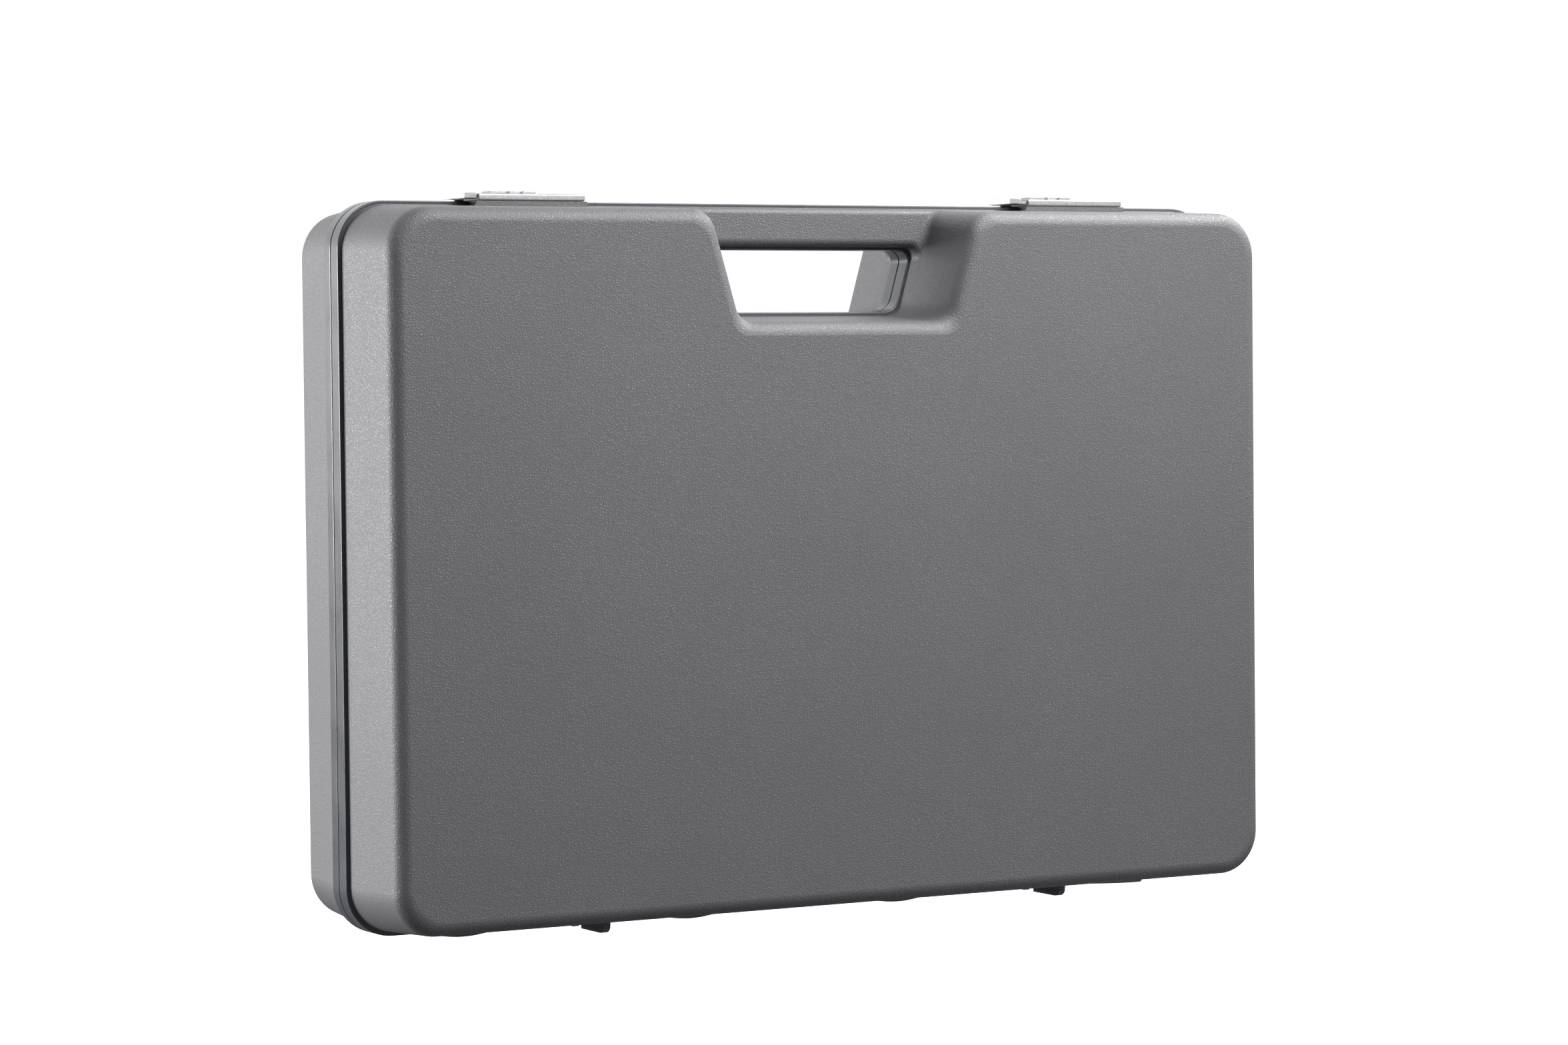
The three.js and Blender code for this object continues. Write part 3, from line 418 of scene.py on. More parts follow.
def recess(case, side, depth, rim, extra=0.0):
    """The cutter of the recess on one face. It starts at the bar's face with a concave fillet (a quarter
    circle), its sides and floor spread with depth, and it ends in a convex fillet to the face."""
    corner, radius = 0.0002 if extra else case.bar_corner, case.edge_radius
    turn = quarter(7)
    start = case.bar_half - extra + corner * (1 - np.cos(turn))
    pinch = corner * (1 - np.sin(turn))
    last = 84
    round_turn = quarter(10, last)
    fillet = depth - radius + radius * np.sin(round_turn)
    flare = radius * (1 - np.cos(round_turn))
    beyond = depth + 0.0002
    last_flare = flare[-1] + math.tan(math.radians(last)) * (beyond - fillet[-1])
    away = np.concatenate([start, fillet, [beyond, depth + FAR]])
    pinch = np.concatenate([pinch, np.zeros(len(away) - len(pinch))])
    flare = np.concatenate([np.zeros(len(start)), flare, [last_flare, last_flare]])
    share = hold_share(case, away, depth, rim)
    top = RIM_TOP - case.rim_step - share * case.draft - flare
    sides = hold_side(case, share) + flare + extra
    drops = hold_drop(case, share) + flare + extra
    levels = [
        (a, hold_outline(case, s, d, t, p)) for a, s, d, t, p in zip(away, sides, drops, top, pinch)
    ]
    return skin("recess", at_depth(side, levels))


def window_outline(case, side, drop, top):
    """Lower corner arcs, leaning sides and upper corner arcs."""
    slope = case.hold_slope
    lean, spread = math.degrees(math.atan(slope)), math.hypot(1, slope)
    floor, radius, upper = case.hold_floor - drop, case.hold_radius, case.window_round
    corner_x = hold_half_at(case, floor + radius, side) - radius * spread
    upper_x = hold_half_at(case, top - upper, side) - upper * spread
    return mirrored(np.concatenate([
        arc(corner_x, floor + radius, radius, -90, -lean), arc(upper_x, top - upper, upper, -lean, 90),
    ]))


def window(case, side, depth, rim, extra=0.0):
    """The cutter under the grip bar. The rim's edges stand proud in it with rounded edges, and it flares
    upwards into the bar's rounded lower edge."""
    turn, edge, low = quarter(5), case.rim_round, case.bar_low_round
    fine = 0.00002
    levels = [(-0.002, edge + extra, edge + extra, edge + extra)]
    levels += [(a, g, g, g) for a, g in zip(
        case.gap + edge * (1 - np.cos(turn)), edge * (1 - np.sin(turn)) + extra)]
    levels += [(a, g, g, g) for a, g in zip(
        rim - edge * (1 - np.sin(turn)), edge * (1 - np.cos(turn)) + extra)]
    bar_turn = quarter(8)
    away = np.concatenate([[rim + 0.00001], case.bar_half - low * (1 - np.sin(bar_turn)),
                           [case.bar_half + 0.0008]])
    rise = np.concatenate([[0], low * (1 - np.cos(bar_turn)), [low]]) + case.hold_side_step
    share = hold_share(case, away, depth, rim)
    sides, drops = hold_side(case, share) - fine + extra, hold_drop(case, share) - fine + extra
    levels += list(zip(away, sides, drops, rise + extra))
    return skin("window", at_depth(side, [
        (a, window_outline(case, s, d, case.bar_bottom + up)) for a, s, d, up in levels
    ]))


def bar_edge(case, side, depth, rim):
    """The cutter that rounds the bar's upper edge: what lies above a quarter circle, inside the recess's
    outline where that meets the bar."""
    radius, flare = case.bar_top_round, case.hold_flare
    turn = np.radians(np.linspace(14, 90, 8))
    away = case.bar_half - radius * (1 - np.sin(turn))
    share = hold_share(case, away, depth, rim)
    floor = RIM_TOP - case.rim_step - share * case.draft - radius * (1 - np.cos(turn))
    share = hold_share(case, case.bar_half, depth, rim)
    top = RIM_TOP - case.rim_step - share * case.draft
    flare_x = (hold_half_at(case, top - flare, hold_side(case, share))
               + flare * math.hypot(1, case.hold_slope) - case.bar_corner)

    def outline(low):
        rise = math.degrees(math.asin(min((low - top + flare) / flare, 1)))
        right = arc(flare_x, top - flare, flare, 180 - rise, 90, 7)
        return mirrored(np.concatenate([right, [[flare_x, top + FAR]]]))

    levels = [(a, outline(low)) for a, low in zip(away, floor)]
    levels.append((case.bar_half + 0.0006, levels[-1][1]))
    return skin("bar_edge", at_depth(side, levels))


# ---- Shells ----


def rod(axis, radius, start, end, centre, sides=32):
    """A round bar between two places along one axis: 0, 1 or 2 for X, Y or Z."""
    return tapered_rod(axis, np.array([radius, radius]), np.array([start, end]), centre, sides)


def tapered_rod(axis, radii, places, centre, sides=32):
    """Circles of given radii at given places along an axis."""
    turn = np.linspace(0, 2 * np.pi, sides, endpoint=False)
    rows = np.zeros((len(radii), sides, 3))
    across = [k for k in range(3) if k != axis]
    rows[:, :, axis] = places[:, None] + centre[axis]
    rows[:, :, across[0]] = centre[across[0]] + radii[:, None] * np.cos(turn)
    rows[:, :, across[1]] = centre[across[1]] + radii[:, None] * np.sin(turn)
    return skin("rod", rows)


def prism(axis, outline, start, end):
    """An outline in the plane across an axis, drawn out between two places along it."""
    rows = np.zeros((2, len(outline), 3))
    across = [k for k in range(3) if k != axis]
    rows[:, :, across[0]] = outline[:, 0]
    rows[:, :, across[1]] = outline[:, 1]
    rows[0, :, axis], rows[1, :, axis] = start, end
    return skin("prism", rows)


def hinge_rod(radius, start, end):
    return rod(0, radius, start, end, (0, PARTING_Y, HINGE_Z))


def end_spans(hinge):
    """Where the base's knuckles start and end along X; the outermost right one is longer."""
    spans = []
    for middle, extra in ((-hinge.middle, 0), (hinge.middle, hinge.outer_extra)):
        left, right = middle - hinge.span / 2, middle + hinge.span / 2
        spans += [(left, left + hinge.end_span), (right - hinge.end_span, right + extra)]
    return spans


def middle_spans(hinge):
    """Where the lid's knuckles start and end."""
    reach = hinge.span / 2 - hinge.end_span - hinge.clearance
    return [(middle - reach, middle + reach) for middle in (-hinge.middle, hinge.middle)]


def knuckle_rooms(hinge, radius, spans):
    """Cutters that leave running clearance round the knuckles of the other shell."""
    gap = hinge.clearance
    return [hinge_rod(radius + gap, start - gap, end + gap) for start, end in spans]


def pin_bores(hinge):
    return [hinge_rod(hinge.pin + hinge.clearance, middle - hinge.span, middle + hinge.span)
            for middle in (-hinge.middle, hinge.middle)]


def swollen_knuckle(hinge, start, end):
    """A knuckle whose radius swells by half a sine wave from its ends to its middle. The longer outermost
    one swells by a quarter wave and ends bluntly."""
    share = np.linspace(0, 1, 25)
    thin = hinge.pin + 0.0007
    waves = 0.5 if end - start > hinge.end_span + 0.001 else 1
    radii = thin + (hinge.knuckle - thin) * np.sin(np.pi * waves * share)
    return tapered_rod(0, radii, start + (end - start) * share, (0, PARTING_Y, HINGE_Z))


def feet(case, hinge, side, end):
    """Ribs across the case's underside whose outer ends rise to the wall in an arc."""
    top = case.rim_bottom + case.rim_step + case.draft + 0.0006
    radius, half = 0.0042, hinge.foot_thick / 2
    tip = arc(end - radius, radius, radius, -90, -28, 6)
    outline = np.concatenate([[[hinge.foot_inner, 0]], tip, [[end, top], [hinge.foot_inner, top]]])
    outline[:, 0] = PARTING_Y + side * outline[:, 0]
    return [prism(0, outline, place - half, place + half) for place in (hinge.foot_left, hinge.foot_right)]


def latch_boss(case, side_name):
    """The moulded seat under a latch, with concave ramps (quarter ellipses) at its ends."""
    low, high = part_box(f"latch_housing_{side_name}")
    bottom = RIM_TOP - case.rim_step - case.draft
    turn = quarter(8)
    height = bottom + (RIM_TOP - bottom) * (1 - np.cos(turn))
    left = np.stack([low.x - 0.007 + 0.0062 * np.sin(turn), height], axis=-1)
    right = np.stack([high.x + 0.0022 - 0.0016 * np.sin(turn), height], axis=-1)
    outline = np.concatenate([left, right[::-1]])
    return prism(1, outline, low.y - 0.0003, PARTING_Y - case.lid_rim + 0.0005)


def shell(name, case, side, depth, rim, outer_round):
    """One shell: a skin from the rim to the face, hollowed to its wall, with the hand-hold cut through."""
    place = (case, side, depth, rim)
    body = case_slab(name, case, side, rim_profile(case, rim, outer_round) + wall_profile(case, depth, 0, 13))
    thick = case.rim_step + case.wall
    hollow = case_slab("hollow", case, side, [(-PAST, thick), (rim, thick)]
                       + wall_profile(case, depth, case.wall, 7))
    cut(hollow, recess(*place, case.wall), window(*place, case.wall))
    return cut(body, hollow, recess(*place), window(*place), bar_edge(*place))


def finish_shell(piece, rim):
    """Gives the rims the smooth plastic, whose darker colour is painted shade, and the rest the grained one,
    and writes how deep the grain is at
    each point: full on the faces, less on walls that leave the mould along their own surface."""
    shade(piece, 28)
    mesh = piece.data
    centres = np.zeros(3 * len(mesh.polygons))
    mesh.polygons.foreach_get("center", centres)
    away = np.abs(centres.reshape(-1, 3)[:, 1] - PARTING_Y)
    wear(piece, finish_for("case_plastic"), finish_for("rim_plastic"))
    mesh.polygons.foreach_set("material_index", (away < rim + 0.0002).astype(np.int32))
    normals = np.zeros(3 * len(mesh.vertices))
    mesh.vertices.foreach_get("normal", normals)
    facing = np.abs(normals.reshape(-1, 3)[:, 1])
    depth = mesh.attributes.new("grain_depth", "FLOAT", "POINT")
    depth.data.foreach_set("value", 0.42 + 0.58 * np.clip(facing * 1.3, 0, 1))


def make_base(case, hinge):
    base = shell("case_base", case, 1, BASE_DEPTH, case.base_rim, 0.0012)
    cut(base, *knuckle_rooms(hinge, hinge.inner_knuckle, middle_spans(hinge)))
    ends = [swollen_knuckle(hinge, *span) for span in end_spans(hinge)]
    join(base, *ends, *feet(case, hinge, 1, hinge.base_foot))
    cut(base, *pin_bores(hinge))
    finish_shell(base, case.base_rim)
    deliver(base, "base", "case_plastic", "base_shell")


def make_lid(case, hinge):
    lid = shell("case_lid", case, -1, LID_DEPTH, case.lid_rim, 0.0004)
    cut(lid, *knuckle_rooms(hinge, hinge.knuckle, end_spans(hinge)))
    knuckles = [hinge_rod(hinge.inner_knuckle, *span) for span in middle_spans(hinge)]
    seats = [latch_boss(case, side) for side in ("left", "right")]
    join(lid, *knuckles, *feet(case, hinge, -1, hinge.lid_foot), *seats)
    cut(lid, *pin_bores(hinge))
    finish_shell(lid, case.lid_rim)
    deliver(lid, "lid", "case_plastic", "lid_shell")


# ---- Finishes ----


def add(tree, kind, values=None, **settings):
    """A shader node with its settings, and with values or links on its inputs."""
    made = tree.nodes.new(kind)
    for key, value in settings.items():
        setattr(made, key, value)
    for socket, value in (values or {}).items():
        if isinstance(value, bpy.types.NodeSocket):
            tree.links.new(value, made.inputs[socket])
        else:
            made.inputs[socket].default_value = value
    return made


def finish(name, colour, roughness, metallic=0.0, specular=0.5):
    made = bpy.data.materials.new(name)
    made.use_nodes = True
    tree = made.node_tree
    shader = tree.nodes["Principled BSDF"]
    shader.inputs["Base Color"].default_value = (*colour, 1)
    shader.inputs["Roughness"].default_value = roughness
    shader.inputs["Metallic"].default_value = metallic
    shader.inputs["Specular IOR Level"].default_value = specular
    place = add(tree, "ShaderNodeTexCoord").outputs["Object"]
    return made, tree, shader, place


def math_node(tree, operation, first, second, clamp=False):
    return add(tree, "ShaderNodeMath", {0: first, 1: second}, operation=operation, use_clamp=clamp).outputs[0]


def noise(tree, place, scale, detail=3.0, roughness=0.5):
    return add(tree, "ShaderNodeTexNoise",
               {"Vector": place, "Scale": scale, "Detail": detail, "Roughness": roughness}).outputs["Fac"]


def ramp(tree, value, start, end, low, high):
    """A smooth change from low to high as a value goes from start to end."""
    return add(tree, "ShaderNodeMapRange",
               {"Value": value, "From Min": start, "From Max": end, "To Min": low, "To Max": high},
               interpolation_type="SMOOTHSTEP").outputs["Result"]


def vary(tree, shader, colour, share, low=0.85, high=1.15):
    """Base colour scaled between two factors by a share from 0 to 1."""
    mixed = add(tree, "ShaderNodeMix", {"Factor": share}, data_type="RGBA")
    mixed.inputs["A"].default_value = (*[c * low for c in colour], 1)
    mixed.inputs["B"].default_value = (*[c * high for c in colour], 1)
    tree.links.new(mixed.outputs["Result"], shader.inputs["Base Color"])


def bump(tree, shader, height, distance, strength=1.0):
    made = add(tree, "ShaderNodeBump", {"Height": height, "Distance": distance, "Strength": strength})
    tree.links.new(made.outputs["Normal"], shader.inputs["Normal"])


def grained_plastic(tones):
    """Leather grain: rounded cells with valleys between them, bent by noise, at the depth that each point
    asks for, over a faint flow pattern of the moulding. The colour is also darker in the valleys than on the
    cells, which is painted shade of the grain's relief."""
    made, tree, shader, place = finish("grained_plastic", tones.case_grey, 0.5)
    bend = add(tree, "ShaderNodeTexNoise", {"Vector": place, "Scale": 520, "Detail": 2}).outputs["Color"]
    centred = add(tree, "ShaderNodeVectorMath", {0: bend, 1: (0.5, 0.5, 0.5)}, operation="SUBTRACT")
    moved = add(tree, "ShaderNodeVectorMath", {0: centred.outputs[0], "Scale": 0.0012}, operation="SCALE")
    bent = add(tree, "ShaderNodeVectorMath", {0: place, 1: moved.outputs[0]}, operation="ADD").outputs[0]
    cells = add(tree, "ShaderNodeTexVoronoi", {"Vector": bent, "Scale": 1 / tones.grain},
                feature="DISTANCE_TO_EDGE").outputs["Distance"]
    pebble = ramp(tree, cells, 0.0, 0.42, 0.0, 1.0)
    fine = noise(tree, place, 3400, 2)
    broad = noise(tree, place, 700, 2)
    relief = math_node(tree, "ADD", math_node(tree, "MULTIPLY", pebble, 0.75),
                       math_node(tree, "MULTIPLY", broad, 0.55))
    relief = math_node(tree, "ADD", relief, math_node(tree, "MULTIPLY", fine, 0.12))
    depth = add(tree, "ShaderNodeAttribute", attribute_name="grain_depth").outputs["Fac"]
    bump(tree, shader, math_node(tree, "MULTIPLY", relief, depth), tones.grain_depth)
    # Painted shade: the base colour is darker in the grain's valleys than on its cells, times a broad random
    # mottle.
    valley_shade_and_mottle = math_node(tree, "MULTIPLY", pebble, noise(tree, place, 18, 2))
    vary(tree, shader, tones.case_grey, valley_shade_and_mottle, 0.86, 1.34)
    tree.links.new(ramp(tree, pebble, 0, 1, 0.62, 0.44), shader.inputs["Roughness"])
    return made


def rim_plastic(tones):
    # The rims' base colour is darkened as painted shade for the dark reflection on the smooth plastic; the
    # streaks are random tone.
    made, tree, shader, place = finish("rim_plastic", tones.rim_shaded_grey, 0.3)
    streaks = add(tree, "ShaderNodeMapping", {"Vector": place, "Scale": (30, 400, 30)}).outputs[0]
    vary(tree, shader, tones.rim_shaded_grey, noise(tree, streaks, 1.0, 3), 0.92, 1.08)
    tree.links.new(ramp(tree, noise(tree, place, 60, 3), 0.3, 0.7, 0.26, 0.32), shader.inputs["Roughness"])
    bump(tree, shader, noise(tree, place, 900, 2), 0.00001)
    return made


def zinc_steel(tones):
    made, tree, shader, place = finish("zinc_steel", tones.zinc, 0.4, metallic=1.0)
    speckle = noise(tree, place, 2200, 2, 0.7)
    vary(tree, shader, tones.zinc, ramp(tree, speckle, 0.35, 0.65, 0, 1), 0.72, 1.12)
    tree.links.new(ramp(tree, speckle, 0.3, 0.7, 0.46, 0.60), shader.inputs["Roughness"])
    bump(tree, shader, speckle, 0.00004)
    return made


def patchy(name, colour, roughness, metallic, scale, tone, gloss, fine, depth):
    """A finish whose tone and roughness follow broad patches of noise, over a fine relief."""
    made, tree, shader, place = finish(name, colour, roughness, metallic)
    patches = noise(tree, place, scale, 4)
    vary(tree, shader, colour, patches, *tone)
    tree.links.new(ramp(tree, patches, 0.3, 0.7, *gloss), shader.inputs["Roughness"])
    bump(tree, shader, noise(tree, place, *fine), depth)
    return made


def satin_chrome(tones):
    return patchy("satin_chrome", tones.chrome, 0.2, 1.0, 45, (0.92, 1.06), (0.13, 0.26), (3200, 1), 0.000004)


def hardened_steel(tones):
    return patchy("hardened_steel", tones.dark_steel, 0.36, 1.0, 120, (0.7, 1.3), (0.28, 0.44), (1800, 2),
                  0.00001)


def tray_sheet(tones):
    return patchy("tray_sheet", tones.tray_black, 0.42, 0.0, 34, (0.8, 1.5), (0.36, 0.5), (1500, 2), 0.00005)


def open_foam(tones):
    made, tree, shader, place = finish("open_foam", tones.foam_grey, 0.96, specular=0.15)
    cells = add(tree, "ShaderNodeTexVoronoi", {"Vector": place, "Scale": 900}, feature="F1")
    cells = cells.outputs["Distance"]
    vary(tree, shader, tones.foam_grey, ramp(tree, cells, 0.1, 0.7, 1, 0), 0.5, 1.3)
    bump(tree, shader, cells, 0.0005)
    shader.inputs["Sheen Weight"].default_value = 0.12
    return made


def grip_rubber(tones):
    made, tree, shader, place = finish("grip_rubber", tones.rubber_black, 0.7, specular=0.35)
    vary(tree, shader, tones.rubber_black, noise(tree, place, 60, 3), 0.8, 1.5)
    bump(tree, shader, noise(tree, place, 2400, 2), 0.00006)
    return made


FINISHES = {}


def finish_for(slot):
    """The finish of a material slot, made once and shared by its pieces."""
    makers = {
        "case_plastic": grained_plastic, "rim_plastic": rim_plastic, "plated_steel": zinc_steel,
        "chrome_steel": satin_chrome, "dark_steel": hardened_steel, "tray_plastic": tray_sheet,
        "foam": open_foam, "grip_rubber": grip_rubber,
    }
    if slot not in FINISHES:
        FINISHES[slot] = makers[slot](bpy.context.scene.case_finishes)
    return FINISHES[slot]


# ---- Latches ----


def rounded_block(low, high, radius, steps=4):
    """A block with all its edges rounded: rounded rectangles across X, drawn in towards both ends along
    quarter circles."""
    turn = quarter(steps)
    inset, along = radius * (1 - np.sin(turn)), radius * (1 - np.cos(turn))
    shrink = np.concatenate([inset, inset[::-1]])
    places = np.concatenate([low[0] + along, high[0] - along[::-1]])
    rows = []
    for place, less in zip(places, shrink):
        outline = rounded_rectangle((low[1] + less, low[2] + less), (high[1] - less, high[2] - less),
                                    max(radius - less, radius * 0.1), steps)
        rows.append(np.column_stack([np.full(len(outline), place), outline]))
    return skin("block", np.stack(rows))


def plain_block(low, high):
    outline = np.array([[low[1], low[2]], [high[1], low[2]], [high[1], high[2]], [low[1], high[2]]])
    return prism(0, outline, low[0], high[0])


def low_dome(centre, radius, rise):
    """A shallow cap: height falls as the cosine squared of the distance from its middle."""
    share = np.linspace(0, 1, 12)
    radii = radius * np.concatenate([[0.999], 1 - share[1:-1], [0.02]])
    heights = rise * np.concatenate([[0], np.sin(0.5 * np.pi * share[1:-1]) ** 2, [1]])
    heights[0] = -0.0004  # its foot is sunk in the sheet
    return tapered_rod(2, radii, heights, centre, 48)


def latch_top():
    """Height of the latches' flat top, under the dome."""
    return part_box("latch_housing_left")[1].z - 0.0005


def make_housing(latch, side_name):
    """A folded channel, open towards the tab, with a window for the ribs and a shallow dome."""
    node = f"latch_housing_{side_name}"
    low, high = (np.array(corner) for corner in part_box(node))
    sheet, top = latch.sheet, latch_top()
    middle, way_half = (low + high) / 2, 0.008
    slot_start, slot_end, slot_depth, margin = 0.0009, 0.0279, 0.010, 0.001
    body = rounded_block(low, (high[0], high[1], top), latch.fold, 5)
    inside = plain_block((low[0] - PAST, low[1] + sheet, low[2] + sheet),
                         (high[0] - sheet, high[1] - sheet, top - sheet))
    way = plain_block((middle[0] - way_half, PARTING_Y - PAST, low[2] - PAST),
                      (middle[0] + way_half, high[1] + PAST, top - sheet))
    under = plain_block((low[0] - PAST, PARTING_Y - PAST, low[2] - PAST),
                        (high[0] - sheet, high[1] - sheet, low[2] + sheet + 0.0001))
    slot = plain_block((low[0] + slot_start, PARTING_Y - slot_depth, top - 0.002),
                       (low[0] + slot_end, PARTING_Y - PAST, top + PAST))
    cut(body, inside, way, under, slot)
    join(body, low_dome((high[0] - latch.dome - margin, middle[1], top), latch.dome, latch.dome_rise))
    complete(body, f"case_{node}", "lid", "plated_steel", node)


def make_slide(latch, side_name):
    """The sliding plate: a flat run, a tab that curves up a little (part of a sine wave) with its edges
    folded down, and three ribs for the thumb with slanted leading ends."""
    node = f"latch_slide_{side_name}"
    low, high = (np.array(corner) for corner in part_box(node))
    top, play, fold = latch_top(), 0.0002, 0.0021
    plate_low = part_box(f"latch_housing_{side_name}")[0].z + latch.sheet + play
    plate_high = top - latch.sheet - play
    root = low[0] + latch.tab
    share = np.linspace(0, 1, 13)
    x = low[0] + (latch.tab - 0.0003) * share
    lift = top + 0.0004 * np.sin(np.pi * (0.25 + 0.6 * share))
    upper = np.stack([x, lift], axis=-1)
    lower = np.stack([x, lift - fold], axis=-1)
    outline = np.concatenate([lower, [[root, plate_low], [high[0], plate_low], [high[0], plate_high],
                                      [root + 0.0004, plate_high]], upper[::-1]])
    plate = prism(1, outline, low[1], high[1])
    keeper_start, keeper_end = 0.0254, 0.0364
    keeper = plain_block((low[0] + keeper_start, PARTING_Y - PAST, plate_low - 0.002),
                         (low[0] + keeper_end, high[1] + PAST, plate_high + 0.002))
    hollow = plain_block((low[0] + latch.sheet, low[1] + latch.sheet, top - 0.004),
                         (root - 0.0012, high[1] - latch.sheet, top - latch.sheet))
    cut(plate, keeper, hollow)
    bevel(plate, 0.00016, 2, 40)
    at = low[0] + latch.tab + 0.0065
    rib_root, slant = plate_high - 0.0001, 0.0009
    ribs = []
    for run in (0.0076, 0.005, 0.006):
        rib = np.array([[at, rib_root], [at + slant, high[2]], [at + run, high[2]], [at + run, rib_root]])
        ribs.append(bevel(prism(1, rib, PARTING_Y - 0.0092, PARTING_Y - 0.0018), 0.0002, 2))
        at += run + latch.rib_gap
    join(plate, *ribs)
    complete(plate, f"case_{node}", node, "plated_steel", node)


def softened(node, width, body, slot):
    """A piece that keeps a CAD node's shape: its triangles are merged and its edges rounded."""
    mesh = frame["nodes"][node].data.copy()
    form = bmesh.new()
    form.from_mesh(mesh)
    bmesh.ops.remove_doubles(form, verts=form.verts, dist=0.00001)
    bmesh.ops.dissolve_limit(form, angle_limit=math.radians(1), verts=form.verts, edges=form.edges)
    form.to_mesh(mesh)
    form.free()
    piece = bpy.data.objects.new(f"set_{node}", mesh)
    bpy.context.scene.collection.objects.link(piece)
    if width:
        bevel(piece, width, 2, 35)
    complete(piece, f"set_{node}", body, slot, node, sharp=35)


# ---- Tools ----


def ring(name, stations, centre, axis, direction=1, loop=True, sides=96):
    """Closed rings along an axis. A station is its place, its half width across flats and its number of
    corners; the radius is the half width for a circle (0 corners) and half width / cos(angle from the
    nearest flat's middle) for a polygon, whose corners are kept under a limit."""
    turn = np.linspace(0, 2 * np.pi, sides, endpoint=False)
    rows = np.zeros((len(stations), sides, 3))
    across = [k for k in range(3) if k != axis]
    for row, (place, half, corners) in zip(rows, stations):
        radius = np.full(sides, half)
        if corners:
            part = 2 * np.pi / corners
            fold = np.mod(turn, part) - part / 2
            radius = np.minimum(half / np.cos(fold), half / math.cos(part / 2) * 0.975)
        row[:, axis] = centre[axis] + direction * place
        row[:, across[0]] = centre[across[0]] + radius * np.cos(turn)
        row[:, across[1]] = centre[across[1]] + radius * np.sin(turn)
    return skin(name, rows, loop)


def blend_stations(start, end, first, last, steps=7):
    """Circles whose radius goes from first to last along a half cosine wave."""
    share = np.linspace(0, 1, steps)
    radii = first + (last - first) * 0.5 * (1 - np.cos(np.pi * share))
    return [(place, radius, 0) for place, radius in zip(start + (end - start) * share, radii)]


def grooves(tools, radius, *places):
    """Turned grooves 0.8 mm wide in a round surface."""
    half, slant, bottom = 0.0004, 0.0002, radius - tools.groove
    return [station for place in places for station in (
        (place - half - slant, radius, 0), (place - half, bottom, 0),
        (place + half, bottom, 0), (place + half + slant, radius, 0))]


def turned(tools, node, body, stations, centre, axis, direction=1, loop=False):
    """A turned tool that stands for its CAD node."""
    name = f"set_{node}"
    return ring(name, stations, centre, axis, direction, loop, tools.sides), name, body, "chrome_steel", node


def middle_of(low, high):
    return [(a + b) / 2 for a, b in zip(low, high)]


def socket_stations(tools, across, mouth, drive_radius, long, seat):
    """A socket from its drive end: chamfer, grooved drive end, smooth change to the working end, then the
    hexagon hollow down to its seat and the drive square back out."""
    chamfer, square = tools.chamfer, tools.drive / 2 + SQUARE_PLAY
    soft, hexagon = chamfer * 0.3, across / 2 + 0.0001
    outside = [(0, drive_radius - chamfer, 0), (soft, drive_radius - soft, 0), (chamfer, drive_radius, 0)]
    outside += grooves(tools, drive_radius, 0.0042, 0.0092)
    outside += blend_stations(0.0125, 0.0175, drive_radius, mouth)
    outside += [(long - chamfer, mouth, 0), (long - soft, mouth - soft, 0), (long, mouth - chamfer, 0)]
    inside = [(long, hexagon * 1.1, 0), (long - 0.001, hexagon, 6), (seat, hexagon, 6),
              (seat, square * 0.995, 4), (0.0006, square, 4), (0, square + 0.0005, 4)]
    return outside + inside


def socket_radius(size):
    return 0.64 * size + 0.0013


def make_socket(tools, node, axis, long):
    """A standing socket (axis 1) or a lying spark plug socket (axis 0), sized by its node's last number."""
    low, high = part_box(node)
    size = int(node.split("_")[-1]) / 1000
    centre, mouth, drive_radius = middle_of(low, high), socket_radius(size), DRIVE_END
    if axis == 1:
        if mouth < DRIVE_END:
            drive_radius = max((high.x - low.x) / 2, DRIVE_END)
        else:
            drive_radius = max(DRIVE_END, mouth * 0.72)
        centre[1], direction, seat = high.y, -1, 0.42 * long
    else:
        centre[0], direction, seat = low.x, 1, 0.018
    stations = socket_stations(tools, size, mouth, drive_radius, long, seat)
    complete(*turned(tools, node, "base", stations, centre, axis, direction, loop=True))


def make_extension(tools, node):
    """An extension bar along X: drive square, collar, slim shaft with two grooves, and a hollow end."""
    low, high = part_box(node)
    centre, long = middle_of(low, high), high.x - low.x
    centre[0] = low.x
    half, shaft, collar = tools.drive / 2, 0.0062, 0.0092
    hollow, soft = half + SQUARE_PLAY, 0.0008
    square_end, hollow_depth = 0.0128, 0.015
    stations = [(0, half * 0.86, 4), (soft, half, 4), (square_end, half, 4), (square_end, 0.0086, 0)]
    stations += blend_stations(0.0132, 0.016, 0.0088, collar, 3)
    stations += blend_stations(0.0175, 0.0235, collar, shaft)
    stations += grooves(tools, shaft, 0.028, 0.0305)
    stations += blend_stations(long - 0.032, long - 0.0262, shaft, DRIVE_END)
    stations += grooves(tools, DRIVE_END, long - 0.021, long - 0.018)
    stations += [(long - soft, DRIVE_END, 0), (long, DRIVE_END - soft, 0), (long, half * 1.12, 4),
                 (long - 0.0007, hollow, 4), (long - hollow_depth, hollow, 4)]
    complete(*turned(tools, node, "base", stations, centre, 0))


